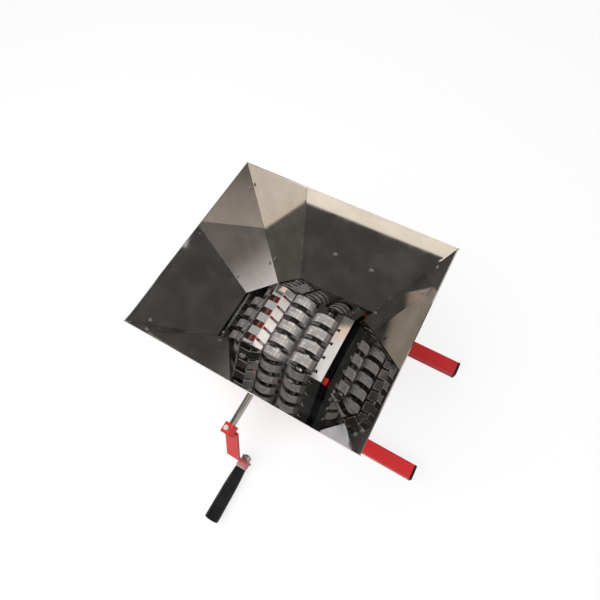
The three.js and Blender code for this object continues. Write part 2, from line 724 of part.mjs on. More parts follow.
// The outline of a strip of even thickness along a line
function stripOutline(line, thickness) {
  const sides = [1, -1].map((sign) => line.map(([u, v], i) => {
    const [u0, v0] = line[Math.max(i - 1, 0)];
    const [u1, v1] = line[Math.min(i + 1, line.length - 1)];
    const length = Math.hypot(u1 - u0, v1 - v0);
    const offset = sign * thickness / 2 / length;
    return [u - (v1 - v0) * offset, v + (u1 - u0) * offset];
  }));
  return [...sides[0], ...sides[1].reverse()];
}

function blade(x, turnSense, centreY, hubStart, hubEnd) {
  const line = hookLine(BLADE_ROOT_ANGLE, BLADE_TIP_ANGLE);
  const y0 = centreY - BLADE_WIDTH / 2;
  const hooks = [1, -1].map((half) => {
    const outline = stripOutline(line, BLADE_THICKNESS)
      .map(([u, v]) => [x + turnSense * half * u, SHAFT_HEIGHT + half * v]);
    return prismAlongY(outline, y0, y0 + BLADE_WIDTH);
  });
  const hub = rod(BLADE_HUB_RADIUS, hubStart, hubEnd, x, SHAFT_HEIGHT);
  const bore = rod(boreRadius, hubStart - 1, hubEnd + 1, x, SHAFT_HEIGHT);
  return join(hub, ...hooks).subtract(bore);
}

const driveBlades = Math.floor((2 * rollerEnd - BLADE_WIDTH) / bladePitch) + 1;

function addRoller(name, x, turnSense, count) {
  const centre = (i) => (i - (count - 1) / 2) * bladePitch;
  for (let i = 0; i < count; i += 1) {
    const start = i === 0 ? -rollerEnd : centre(i) - BLADE_WIDTH / 2;
    const end = i === count - 1 ? rollerEnd : centre(i + 1) - BLADE_WIDTH / 2 - FIT;
    add(`${name}_blade_${i + 1}`, blade(x, turnSense, centre(i), start, end), mirrorSteel);
  }
}

addRoller('drive', driveX, 1, driveBlades);
addRoller('idler', idlerX, -1, driveBlades - 1);

// Shafts and set collars

const collarStart = bushOuterEnd + FIT;
const collarEnd = collarStart + COLLAR_LENGTH;
const shaftEnd = gearEnd + SHAFT_TAIL;
add('drive_shaft', rod(SHAFT_RADIUS, -SHAFT_REACH, shaftEnd, driveX, SHAFT_HEIGHT), brushedSteel);
add('idler_shaft', rod(SHAFT_RADIUS, -collarEnd - SHAFT_TAIL, shaftEnd, idlerX, SHAFT_HEIGHT), brushedSteel);

for (const [roller, x] of [['drive', driveX], ['idler', idlerX]]) {
  const collar = sleeve(COLLAR_RADIUS, boreRadius, -collarEnd, -collarStart, x, SHAFT_HEIGHT);
  add(`collar_${roller}`, collar, zincSteel);
}

// Gears: an equal pair with involute teeth couples the rollers behind the rear end plate. The count of teeth
// is even, so the idler's gear is turned by half a tooth to mesh.

function gearOutline(pitchRadius, teeth, turn) {
  const toothSize = 2 * pitchRadius / teeth;
  const pressure = radians(20);
  const base = pitchRadius * Math.cos(pressure);
  const tip = pitchRadius + toothSize;
  const root = pitchRadius - 1.25 * toothSize;
  const involute = (angle) => Math.tan(angle) - angle;
  const atPitch = Math.PI / (2 * teeth) - GEAR_BACKLASH / (2 * pitchRadius);
  const halfAngle = (radius) => {
    const slope = radius > base ? Math.acos(base / radius) : 0;
    return atPitch + involute(pressure) - involute(slope);
  };
  const flankSteps = 3;
  const flank = [[root, halfAngle(base)]];
  for (let i = 0; i <= flankSteps; i += 1) {
    const radius = base + (tip - base) * (i / flankSteps);
    flank.push([radius, halfAngle(radius)]);
  }
  const points = [];
  for (let tooth = 0; tooth < teeth; tooth += 1) {
    const middle = turn + (2 * Math.PI * tooth) / teeth;
    const rising = flank.map(([radius, half]) => [radius, middle - half]);
    const falling = flank.map(([radius, half]) => [radius, middle + half]).reverse();
    points.push(...rising, ...falling);
  }
  return points.map(([radius, angle]) => [radius * Math.cos(angle), radius * Math.sin(angle)]);
}

function gear(x, turn) {
  const outline = gearOutline(shaftSpacing / 2, GEAR_TEETH, turn).map(([u, v]) => [x + u, v + SHAFT_HEIGHT]);
  return prismAlongY(outline, gearStart, gearEnd)
    .subtract(rod(boreRadius, gearStart - 1, gearEnd + 1, x, SHAFT_HEIGHT));
}

add('gear_drive', gear(driveX, 0), zincSteel);
add('gear_idler', gear(idlerX, Math.PI / GEAR_TEETH), zincSteel);

// Crank: built hanging straight down from the shaft's axis, then turned to where it rests

const crank = new THREE.Group();
crank.position.set(driveX, 0, SHAFT_HEIGHT);
crank.rotation.y = -radians(CRANK_ANGLE);
object.add(crank);

const hubOuter = -SHAFT_REACH;
const hubInner = hubOuter + HUB_LENGTH;
const hubMiddle = (hubOuter + hubInner) / 2;

const hub = prismAlongY(roundedSquare(HUB_SIZE, HUB_CORNER), hubOuter, hubInner)
  .subtract(rod(boreRadius, hubOuter - 1, hubInner + 1))
  .subtract(turned([
    [0, 0],
    [HUB_SCREW_RADIUS + FIT, 0],
    [HUB_SCREW_RADIUS + FIT, HUB_SIZE],
    [0, HUB_SIZE],
  ], new THREE.Vector3(0, hubMiddle, 0), Z));
add('crank_hub', hub, redPaint, crank);

const hubTop = new THREE.Vector3(0, hubMiddle, HUB_SIZE / 2 + FIT);
const screwDepth = HUB_SIZE / 2 - SHAFT_RADIUS;
const screwShank = turned([
  [0, -screwDepth],
  [HUB_SCREW_RADIUS, -screwDepth],
  [HUB_SCREW_RADIUS, 1],
  [0, 1],
], hubTop, Z);
const screwHead = new THREE.ExtrudeGeometry(shapeOf(hexagon(HUB_SCREW_FLATS)), {
  depth: HUB_SCREW_HEAD,
  bevelEnabled: false,
});
screwHead.translate(hubTop.x, hubTop.y, hubTop.z);
add('crank_hub_screw', join(screwShank, solidOf(screwHead)), zincSteel, crank);

// The arm is a flat bar with a joggle: its side view is a strip along a bent line, and its front view a bar
// with a round end
const armTop = -HUB_SIZE / 2 - FIT;
const joggleTop = armTop - ARM_NECK;
const joggleBottom = joggleTop - ARM_JOGGLE_LENGTH;
const joggleAngle = Math.atan2(ARM_JOGGLE, ARM_JOGGLE_LENGTH);
const joggleShift = ARM_THICKNESS * Math.tan(joggleAngle / 2);
const armEnd = -CRANK_RADIUS - ARM_WIDTH / 2;
const armSide = prismAlongX([
  [armInner, armTop],
  [armInner, joggleTop],
  [handleInner, joggleBottom],
  [handleInner, armEnd],
  [handleOuter, armEnd],
  [handleOuter, joggleBottom + joggleShift],
  [armOuter, joggleTop + joggleShift],
  [armOuter, armTop],
], -ARM_WIDTH / 2, ARM_WIDTH / 2);
const armFront = prismAlongY([
  [ARM_WIDTH / 2, armTop],
  [-ARM_WIDTH / 2, armTop],
  ...circlePoints(ARM_WIDTH / 2, ROUND, [0, -CRANK_RADIUS], Math.PI).slice(0, ROUND / 2 + 1),
], handleOuter - 1, armInner + 1);
const boss = rod(BOSS_RADIUS, bossFace, handleOuter + ARM_THICKNESS / 2, 0, -CRANK_RADIUS);
const armHole = rod(SPINDLE_RADIUS + FIT, bossFace - 1, armInner + 1, 0, -CRANK_RADIUS);
add('crank_arm', join(armSide.intersect(armFront), boss).subtract(armHole), redPaint, crank);

// Handle: a spindle through the arm's boss, held by a nut behind, with a washer and a turning grip

const outwards = new THREE.Vector3(0, -1, 0);
const washerFace = bossFace - FIT;
const gripStart = washerFace - WASHER_THICKNESS - FIT;
const gripEnd = gripStart - GRIP_LENGTH;
const spindleStart = handleInner + FIT + HANDLE_NUT_HEIGHT + 2;
const spindleNeck = gripEnd + GRIP_RECESS - FIT;
const handleAxis = (y) => new THREE.Vector3(0, y, -CRANK_RADIUS);

const spindle = turned([
  [0, 0],
  [SPINDLE_RADIUS, 0],
  [SPINDLE_RADIUS, spindleStart - spindleNeck],
  [SPINDLE_HEAD_RADIUS, spindleStart - spindleNeck],
  [SPINDLE_HEAD_RADIUS, spindleStart - spindleNeck + SPINDLE_HEAD_HEIGHT],
  [0, spindleStart - spindleNeck + SPINDLE_HEAD_HEIGHT],
], handleAxis(spindleStart), outwards, 2 * SMALL_ROUND);
add('handle_spindle', spindle, zincSteel, crank);

const nutSeat = handleAxis(handleInner);
const nut = hexNut(HANDLE_NUT_FLATS, SPINDLE_RADIUS + FIT, HANDLE_NUT_HEIGHT, nutSeat, Y, FIT);
add('handle_nut', nut, zincSteel, crank);

const washer = sleeve(
  WASHER_RADIUS,
  SPINDLE_RADIUS + FIT,
  washerFace - WASHER_THICKNESS,
  washerFace,
  0,
  -CRANK_RADIUS,
);
add('handle_washer', washer, zincSteel, crank);

// The grip swells from its neck to its middle, and its outer end is rounded and recessed for the spindle's
// head
function gripProfile() {
  const bore = SPINDLE_RADIUS + FIT;
  const recess = SPINDLE_HEAD_RADIUS + FIT;
  const points = [[bore, 0], [GRIP_NECK_RADIUS - 1, 0]];
  const steps = 10;
  const straight = GRIP_LENGTH - GRIP_ROUNDING - 1;
  for (let i = 0; i <= steps; i += 1) {
    const share = i / steps;
    const swell = share < 0.5
      ? GRIP_NECK_RADIUS + (GRIP_BELLY_RADIUS - GRIP_NECK_RADIUS) * Math.sin(Math.PI * share)
      : GRIP_BELLY_RADIUS + (GRIP_END_RADIUS - GRIP_BELLY_RADIUS) * (2 * share - 1);
    points.push([swell, 1 + straight * share]);
  }
  for (let i = 1; i <= CORNER_STEPS; i += 1) {
    const angle = (Math.PI / 2) * (i / CORNER_STEPS);
    points.push([
      GRIP_END_RADIUS - GRIP_ROUNDING * (1 - Math.cos(angle)) * 0.6,
      GRIP_LENGTH - GRIP_ROUNDING * (1 - Math.sin(angle)),
    ]);
  }
  points.push([recess, GRIP_LENGTH], [recess, GRIP_LENGTH - GRIP_RECESS], [bore, GRIP_LENGTH - GRIP_RECESS]);
  points.push([bore, 0]);
  return points;
}

const grip = turned(gripProfile(), handleAxis(gripStart), outwards, 2 * SMALL_ROUND);
add('handle_grip', grip, blackPlastic, crank);

export default object;
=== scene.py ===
import json
from math import asin, cos, pi, radians, sin, sqrt
from random import Random

import bmesh
import bpy
from mathutils import Euler, Matrix, Vector

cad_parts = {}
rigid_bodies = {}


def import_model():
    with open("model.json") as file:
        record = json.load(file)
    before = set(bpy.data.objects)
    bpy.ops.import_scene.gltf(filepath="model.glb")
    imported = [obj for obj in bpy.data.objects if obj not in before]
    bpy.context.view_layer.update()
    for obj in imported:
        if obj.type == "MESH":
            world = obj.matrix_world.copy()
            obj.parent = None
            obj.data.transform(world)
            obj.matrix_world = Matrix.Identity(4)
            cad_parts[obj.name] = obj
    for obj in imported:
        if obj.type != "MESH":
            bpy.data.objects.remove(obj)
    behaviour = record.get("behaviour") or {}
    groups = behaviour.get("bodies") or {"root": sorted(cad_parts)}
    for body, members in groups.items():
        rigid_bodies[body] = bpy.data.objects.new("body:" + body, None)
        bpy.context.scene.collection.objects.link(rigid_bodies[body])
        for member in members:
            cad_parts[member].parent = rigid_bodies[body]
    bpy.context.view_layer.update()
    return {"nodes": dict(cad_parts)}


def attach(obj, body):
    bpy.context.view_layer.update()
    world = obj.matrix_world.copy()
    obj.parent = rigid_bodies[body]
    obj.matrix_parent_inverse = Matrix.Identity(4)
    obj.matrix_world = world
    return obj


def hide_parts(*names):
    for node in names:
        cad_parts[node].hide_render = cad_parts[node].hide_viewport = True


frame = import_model()

# Camera: held above the near right corner of the hopper, looking steeply down into it.
# The lens keeps the whole machine inside a square frame.
EYE = (0.15685, -0.20715, 0.78631)
EYE_TURN_DEG = (25.2331, 3.0886, 29.4459)
LENS = 25.324
SENSOR = 36.0


def in_scene(name, data):
    """A new object in the scene."""
    made = bpy.data.objects.new(name, data)
    bpy.context.scene.collection.objects.link(made)
    return made


camera_data = bpy.data.cameras.new("eye")
camera_data.sensor_width = SENSOR
camera_data.lens = LENS
camera_data.clip_start = 0.01
camera = in_scene("eye", camera_data)
camera.location = EYE
camera.rotation_euler = Euler([radians(angle) for angle in EYE_TURN_DEG])
bpy.context.scene.camera = camera
bpy.context.scene.view_settings.view_transform = "Standard"


# Studio: even soft light from all round, one wide soft lamp, and cards of cream and grey that only the
# polished steel can show. The floor is pale, with a painted shadow under the box, just under the lowest sweep
# of the crank.
def feed(tree, target, values):
    """Fills a node's sockets, by name or by number, with numbers or other nodes' outputs."""
    for key, value in values.items():
        if isinstance(value, bpy.types.NodeSocket):
            tree.links.new(value, target.inputs[key])
        else:
            target.inputs[key].default_value = value


def node(tree, kind, values=None, **settings):
    """Adds a node, makes its settings and fills its sockets."""
    made = tree.nodes.new(kind)
    for setting, value in settings.items():
        setattr(made, setting, value)
    feed(tree, made, values or {})
    return made


def math_node(tree, operation, *values):
    return node(tree, "ShaderNodeMath", dict(enumerate(values)), operation=operation).outputs[0]


def vector_node(tree, operation, *values, output="Vector"):
    return node(tree, "ShaderNodeVectorMath", dict(enumerate(values)), operation=operation).outputs[output]


def mixed(tree, factor, first, second):
    """A colour that goes from first to second as factor goes from 0 to 1."""
    made = node(tree, "ShaderNodeMix", {0: factor, 6: first, 7: second}, data_type="RGBA")
    return made.outputs[2]


def ramp(tree, value, low, high, start=0.0, end=1.0, **settings):
    """Goes from start to end as value goes from low to high, and stays level beyond them."""
    made = node(tree, "ShaderNodeMapRange", {
        "Value": value, "From Min": low, "From Max": high, "To Min": start, "To Max": end}, **settings)
    return made.outputs[0]


def near_to(tree, value, middle, half, edge):
    """1 where an angle is within half of middle, falling to 0 over a soft edge. middle, half and edge are in
    degrees."""
    apart = math_node(tree, "WRAP", math_node(tree, "SUBTRACT", value, radians(middle)), pi, -pi)
    distance = math_node(tree, "ABSOLUTE", apart)
    return ramp(tree, distance, radians(half + edge), radians(half - edge), interpolation_type="SMOOTHSTEP")


def new_material(name):
    made = bpy.data.materials.new(name)
    made.use_nodes = True
    return made, made.node_tree, made.node_tree.nodes["Principled BSDF"]


def object_coordinates(tree):
    return node(tree, "ShaderNodeTexCoord").outputs["Object"]


SOFT_LIGHT = 0.62
BACKDROP = (1.0, 1.0, 1.0, 1.0)
SURROUND = (0.100, 0.098, 0.088, 1.0)
# Each card: its middle azimuth and elevation, half width and half height, and soft edge, all in degrees, then
# its colour and, for a card whose long edges are straight lines seen aslant, the azimuth that it is square to
# and where it has its elevation. A later card stands in front of an earlier one.
CARDS = (
    (0, -6, 200, 6, 2.0, (0.90, 0.89, 0.87), None),
    (0, 84, 200, 14, 1.5, (0.15, 0.145, 0.14), None),
    (138, 66, 12, 5, 2.0, (0.52, 0.50, 0.49), None),
    (5, 42, 42, 12, 4.0, (0.62, 0.58, 0.53), None),
    (-15.5, 68, 5.5, 9, 1.5, (0.85, 0.74, 0.60), None),
    (28, 65, 24, 9, 3.0, (0.78, 0.74, 0.67), None),
    (18, 65, 17, 9, 4.0, (1.10, 1.02, 0.94), None),
    (51, 63.3, 9.5, 6.3, 0.2, (0.21, 0.20, 0.18), 89),
    (51, 72.4, 10, 2.8, 0.2, (1.62, 1.40, 1.15), 89),
    (67, 70, 7, 5, 2.0, (0.38, 0.35, 0.32), None),
    (106.5, 57.6, 18.5, 4.15, 0.15, (1.66, 1.50, 1.28), 89),
    (100, 65.5, 11, 3.2, 0.8, (0.16, 0.16, 0.14), None),
    (103.5, 69.4, 20, 1.2, 0.5, (0.95, 0.70, 0.56), None),
    (103.5, 73.6, 20, 3.4, 0.8, (0.95, 0.90, 0.86), None),
    (164, 57.3, 5, 2.4, 2.0, (1.75, 1.78, 1.90), None),
    (158, 67.6, 5, 0.8, 0.5, (1.80, 1.90, 2.00), None),
    (151.5, 49, 1.6, 0.7, 0.3, (1.10, 1.05, 1.05), None),
    (-135, 61, 13, 7.5, 2.0, (0.36, 0.33, 0.31), None),
    (-135, 53, 13, 3.6, 4.2, (1.95, 1.83, 1.83), None),
    (-94, 12, 28, 18, 2.0, (1.12, 0.97, 0.81), None),
    (-93, 66, 8, 8, 2.0, (0.18, 0.18, 0.18), None),
    (-90, 58.5, 8, 2.2, 2.0, (0.60, 0.56, 0.53), None),
    (-56, 37, 14, 8, 3.0, (0.58, 0.49, 0.40), None),
    (-19, 12, 18, 9, 6.0, (0.58, 0.50, 0.43), None),
    (22, 19.5, 20, 9.5, 1.5, (0.88, 0.78, 0.66), None),
)

world = bpy.data.worlds.new("studio")
bpy.context.scene.world = world
world.use_nodes = True
sky = world.node_tree
sky.nodes.clear()
direction = node(sky, "ShaderNodeSeparateXYZ", {0: node(sky, "ShaderNodeTexCoord").outputs["Generated"]})
azimuth = math_node(sky, "ARCTAN2", direction.outputs[1], direction.outputs[0])
elevation = math_node(sky, "ARCSINE", direction.outputs[2])
surroundings = SURROUND
for card_azimuth, card_elevation, half_width, half_height, edge, colour, square_to in CARDS:
    level = elevation
    if square_to is not None:
        aslant = math_node(sky, "COSINE", math_node(sky, "SUBTRACT", azimuth, radians(square_to)))
        slope = math_node(sky, "DIVIDE", math_node(sky, "TANGENT", elevation), aslant)
        level = math_node(sky, "ARCTANGENT", slope)
    across = near_to(sky, azimuth, card_azimuth, half_width, edge)
    upward = near_to(sky, level, card_elevation, half_height, edge)
    mask = math_node(sky, "MULTIPLY", across, upward)
    surroundings = mixed(sky, mask, surroundings, (*colour, 1.0))
rays = node(sky, "ShaderNodeLightPath")
even = (SOFT_LIGHT, SOFT_LIGHT, SOFT_LIGHT, 1.0)
seen = mixed(sky, rays.outputs["Is Glossy Ray"], even, surroundings)
seen = mixed(sky, rays.outputs["Is Camera Ray"], seen, BACKDROP)
background = node(sky, "ShaderNodeBackground", {"Color": seen, "Strength": 1.0})
node(sky, "ShaderNodeOutputWorld", {"Surface": background.outputs[0]})

LAMP_PLACE = (-0.45, -0.55, 1.75)
LAMP_SIZE = 1.3
LAMP_POWER = 24.0
lamp_data = bpy.data.lights.new("soft_lamp", "AREA")
lamp_data.size = LAMP_SIZE
lamp_data.energy = LAMP_POWER
lamp = in_scene("soft_lamp", lamp_data)
lamp.location = LAMP_PLACE
lamp.rotation_euler = Vector(LAMP_PLACE).to_track_quat("Z", "Y").to_euler()
lamp.visible_glossy = False

FLOOR_LEVEL = -0.040
FLOOR_HALF = 6.0
FLOOR_WHITE = (0.99, 0.99, 0.99, 1.0)
FLOOR_DULL = (0.62, 0.62, 0.62, 1.0)
FLOOR_PAINTED_SHADOW = (0.24, 0.23, 0.22, 1.0)
FLOOR_ROUGHNESS = 0.9
FLOOR_GLOW = 0.78
# Round this middle a shadow of the crushing box is painted on the floor, fading out from the first distance
# to the second. The camera sees the floor glow white further out.
PAINTED_SHADOW_MIDDLE = (-0.06, 0.04, 0.0)
PAINTED_SHADOW_FADES = (0.060, 0.132)
GLOW_GROWS = (0.12, 0.24)
floor_mesh = bpy.data.meshes.new("studio_floor")
floor_corners = [(x * FLOOR_HALF, y * FLOOR_HALF, FLOOR_LEVEL)
                 for x, y in ((-1, -1), (1, -1), (1, 1), (-1, 1))]
floor_mesh.from_pydata(floor_corners, [], [(0, 1, 2, 3)])
floor = in_scene("studio_floor", floor_mesh)
floor_paint, paint, floor_shader = new_material("studio_floor")
to_camera = node(paint, "ShaderNodeLightPath").outputs["Is Camera Ray"]
from_middle = vector_node(paint, "DISTANCE", object_coordinates(paint), PAINTED_SHADOW_MIDDLE, output="Value")
open_floor = mixed(paint, to_camera, FLOOR_DULL, FLOOR_WHITE)
feed(paint, floor_shader, {
    "Base Color": mixed(paint, ramp(paint, from_middle, *PAINTED_SHADOW_FADES), FLOOR_PAINTED_SHADOW, open_floor),
    "Roughness": FLOOR_ROUGHNESS,
    "Specular IOR Level": 0.0,
})
glow = node(paint, "ShaderNodeEmission", {"Color": BACKDROP, "Strength": 1.0})
glow_share = math_node(paint, "MULTIPLY", to_camera, ramp(paint, from_middle, *GLOW_GROWS, end=FLOOR_GLOW))
lit = node(paint, "ShaderNodeMixShader", {0: glow_share, 1: floor_shader.outputs[0], 2: glow.outputs[0]})
feed(paint, paint.nodes["Material Output"], {"Surface": lit.outputs[0]})
floor_mesh.materials.append(floor_paint)


# Hopper walls: four sheets of polished stainless steel, 1 mm thick, folded over at the rim. The front and
# rear sheets wrap round the corners and are riveted behind the side sheets.
MM = 0.001
MOUTH = Vector((338, 300, 290)) * MM
THROAT = Vector((162, 122.5, 118.4)) * MM
RIM_STEP = 0.05 * MM
RIM_LOW = 280 * MM
WALL_EDGE = 0.12
WALLS = {"front": (1, -1), "rear": (1, 1), "left": (0, -1), "right": (0, 1)}


def new_group(name, inputs, outputs):
    """A shader node group with named sockets: inputs are (name, kind, default), outputs are (name, kind)."""
    tree = bpy.data.node_groups.new(name, "ShaderNodeTree")
    for socket, kind, default in inputs:
        made = tree.interface.new_socket(name=socket, in_out="INPUT", socket_type=kind)
        if default is not None:
            made.default_value = default
    for socket, kind in outputs:
        tree.interface.new_socket(name=socket, in_out="OUTPUT", socket_type=kind)
    return tree, tree.nodes.new("NodeGroupInput").outputs, tree.nodes.new("NodeGroupOutput").inputs


# Haze: where a surface has been wiped and handled, it is a little rougher, in soft clouds with fine streaks
haze, haze_in, haze_out = new_group("haze", [
    ("Vector", "NodeSocketVector", None),
    ("Cloud Scale", "NodeSocketFloat", 9.0),
    ("Streak Scale", "NodeSocketFloat", 160.0),
    ("Clean", "NodeSocketFloat", 0.03),
    ("Hazy", "NodeSocketFloat", 0.12),
], [("Roughness", "NodeSocketFloat"), ("Mask", "NodeSocketFloat")])
CLOUD_EDGES = (0.42, 0.68)
STREAK_EDGES = (0.55, 0.75)
STREAK_STRETCH = (1.0, 0.08, 0.4)
STREAK_SHARE = 0.25
clouds = node(haze, "ShaderNodeTexNoise", {
    "Vector": haze_in["Vector"], "Scale": haze_in["Cloud Scale"], "Detail": 5.0, "Roughness": 0.6})
streak_space = node(haze, "ShaderNodeMapping", {"Vector": haze_in["Vector"], "Scale": STREAK_STRETCH})
streaks = node(haze, "ShaderNodeTexNoise", {
    "Vector": streak_space.outputs[0], "Scale": haze_in["Streak Scale"], "Detail": 2.0})
cloud_mask = ramp(haze, clouds.outputs[0], *CLOUD_EDGES)
streak_mask = ramp(haze, streaks.outputs[0], *STREAK_EDGES)
cloud_and_streak = math_node(haze, "MULTIPLY_ADD", streak_mask, STREAK_SHARE, cloud_mask)
haze_mask = math_node(haze, "MINIMUM", cloud_and_streak, 1.0)
haze_roughness = ramp(haze, haze_mask, 0.0, 1.0, haze_in["Clean"], haze_in["Hazy"])
haze.links.new(haze_mask, haze_out["Mask"])
haze.links.new(haze_roughness, haze_out["Roughness"])

# Grain: fine parallel lines or pits that a Bump node turns into relief
grain, grain_in, grain_out = new_group("grain", [
    ("Vector", "NodeSocketVector", None),
    ("Stretch", "NodeSocketVector", (1.0, 1.0, 1.0)),
    ("Scale", "NodeSocketFloat", 400.0),
    ("Detail", "NodeSocketFloat", 3.0),
], [("Height", "NodeSocketFloat")])
grain_space = node(grain, "ShaderNodeMapping", {"Vector": grain_in["Vector"], "Scale": grain_in["Stretch"]})
grain_noise = node(grain, "ShaderNodeTexNoise", {
    "Vector": grain_space.outputs[0], "Scale": grain_in["Scale"], "Detail": grain_in["Detail"]})
grain.links.new(grain_noise.outputs[0], grain_out["Height"])


def use_group(tree, group, values):
    return node(tree, "ShaderNodeGroup", values, node_tree=group).outputs


def surface_of(tree, cloud_scale, roughness, grain_values, depth):
    """What all the finishes share. Gives the shader's Roughness, which goes from clean to hazy, its Normal,
    from a grain depth mm deep, and the haze's mask."""
    place = object_coordinates(tree)
    marks = use_group(tree, haze, {
        "Vector": place, "Cloud Scale": cloud_scale, "Clean": roughness[0], "Hazy": roughness[1]})
    height = use_group(tree, grain, {"Vector": place, **grain_values})["Height"]
    bump = node(tree, "ShaderNodeBump", {"Height": height, "Strength": 1.0, "Distance": depth * MM})
    return {"Roughness": marks["Roughness"], "Normal": bump.outputs[0]}, marks["Mask"]


def dimmed_in_mirrors(tree, colour, share):
    """The colour, cut to a share of itself where another surface mirrors it: painted shade, seen only in
    reflections.
    """
    mirrored = node(tree, "ShaderNodeLightPath").outputs["Is Glossy Ray"]
    darker = node(tree, "ShaderNodeMix", {0: 1.0, 6: colour, 7: (share, share, share, 1)},
                  data_type="RGBA", blend_type="MULTIPLY")
    return mixed(tree, mirrored, colour, darker.outputs[2])


def polished_steel(name, clean, worn, roughness, metal, waves, wave_depth, mirrored=1.0):
    """Bright stainless sheet. clean and worn are its colours; roughness and metal say how it goes from clean
    to hazy; waves and wave_depth say how the sheet bows; mirrored is its share of light in other mirrors."""
    made, tree, shader = new_material(name)
    surface, hazy = surface_of(tree, cloud_scale=20.0, roughness=roughness,
                               grain_values={"Scale": waves, "Detail": 0.5}, depth=wave_depth)
    feed(tree, shader, {
        "Metallic": math_node(tree, "MULTIPLY_ADD", hazy, metal[1] - metal[0], metal[0]),
        "Base Color": dimmed_in_mirrors(tree, mixed(tree, hazy, clean, worn), mirrored),
        **surface,
    })
    return made


mirror_steel = polished_steel(
    "mirror_steel", clean=(0.65, 0.64, 0.63, 1), worn=(0.72, 0.71, 0.70, 1), roughness=(0.016, 0.040),
    metal=(1.0, 0.975), waves=7.0, wave_depth=0.08)
rim_glint_steel = polished_steel(
    "rim_glint_steel", clean=(0.84, 0.83, 0.82, 1), worn=(0.90, 0.89, 0.88, 1), roughness=(0.25, 0.40),
    metal=(0.45, 0.25), waves=30.0, wave_depth=0.02)


def finish_piece(piece, body, materials, nodes):
    """Gives a new piece its materials, its body and the solids that it stands for."""
    for material in materials:
        piece.data.materials.append(material)
    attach(piece, body)
    if nodes:
        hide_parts(*nodes)
    return piece


# Points this close are one, in mm, faces this near to flat are one face, and edges sharper than this are
# eased. A face looks along an axis if its normal's share on it is over LOOKS_ALONG.
SAME_POINT = 0.002
SAME_FACE_DEG = 0.6
EASED_OVER_DEG = 25
EASED_STEPS = 2
LOOKS_ALONG = 0.9


def eased(name, solid, body, materials, edge, pick=None, edge_material=-1, reshape=None):
    """A copy of a solid with its sharp edges eased by edge mm. pick(face) gives the number of a face's
    material; edge_material is that of the eased edges, where it isn't their neighbours'; reshape(form) works
    on the copy first."""
    form = bmesh.new()
    form.from_mesh(frame["nodes"][solid].data)
    if reshape:
        reshape(form)
    bmesh.ops.remove_doubles(form, verts=form.verts, dist=SAME_POINT * MM)
    bmesh.ops.dissolve_limit(form, angle_limit=radians(SAME_FACE_DEG), verts=form.verts, edges=form.edges)
    for face in form.faces:
        face.smooth = True
        face.material_index = pick(face) if pick else 0
    mesh = bpy.data.meshes.new(name)
    form.to_mesh(mesh)
    form.free()
    piece = in_scene(name, mesh)
    bevel = piece.modifiers.new("eased_edges", "BEVEL")
    bevel.width = edge * MM
    bevel.segments = EASED_STEPS
    bevel.limit_method = "ANGLE"
    bevel.angle_limit = radians(EASED_OVER_DEG)
    bevel.material = edge_material
    piece.modifiers.new("flat_faces", "WEIGHTED_NORMAL")
    return finish_piece(piece, body, materials, [solid])


def on_rim(face):
    return int(face.normal.z > LOOKS_ALONG)


def wall_normal(axis, sign):
    """The way out of the hopper, square to the wall on that side of X (axis 0) or Y (axis 1)."""
    outward = Vector((0, 0, 0))
    outward[axis] = sign * (MOUTH.z - THROAT.z)
    outward.z = -(MOUTH[axis] - THROAT[axis]) / 2
    return outward.normalized()


def beyond_wall(place, axis, sign):
    """How far a place is beyond the inner face of a wall. It is below 0 inside the hopper."""
    normal = wall_normal(axis, sign)
    return normal.dot(place) - normal[axis] * sign * MOUTH[axis] / 2 - normal.z * MOUTH.z


def flush_rim(axis, sign):
    """Presses the folded rim flat against the inside of its sheet, so that no step shows there."""
    def presses(form):
        for corner in form.verts:
            proud = beyond_wall(corner.co, axis, sign)
            beside = max(beyond_wall(corner.co, 1 - axis, end) for end in (-1, 1))
            if proud < -RIM_STEP and beside < 0 and corner.co.z > RIM_LOW:
                corner.co[axis] -= proud / wall_normal(axis, sign)[axis]
    return presses


for side, (axis, sign) in WALLS.items():
    # The front sheet's rim top is a paler, duller steel than the rest: a painted glint along the fold.
    finishes = [mirror_steel, rim_glint_steel if side == "front" else mirror_steel]
    eased(f"hopper_sheet_{side}", f"hopper_{side}_wall", "frame", finishes, WALL_EDGE, on_rim,
          reshape=flush_rim(axis, sign))


# Seam rivets: two domed blind rivets of zinc plated steel in each corner of the hopper, their heads inside,
# through the side sheet and the flange of the front or rear sheet behind it.
SEAM_FLANGE = 14 * MM
RIVET_SHARES = (0.17, 0.8)
RIVET_RADIUS = 2.8
RIVET_HEIGHT = 1.7
RIVET_STEPS = 20
# The rivet's outline from the pit in its head to its tail, in shares of the head's radius and height
RIVET_HEAD = [(0.0, 0.45), (0.27, 0.48), (0.30, 0.62), (0.42, 0.80), (0.62, 0.84), (0.84, 0.60), (0.97, 0.28),
              (1.0, 0.0)]
RIVET_TAIL = [(0.5, 0.0), (0.5, -1.55), (0.8, -1.60), (0.78, -2.1), (0.5, -2.45), (0.0, -2.5)]
CRISP_OVER_DEG = 30


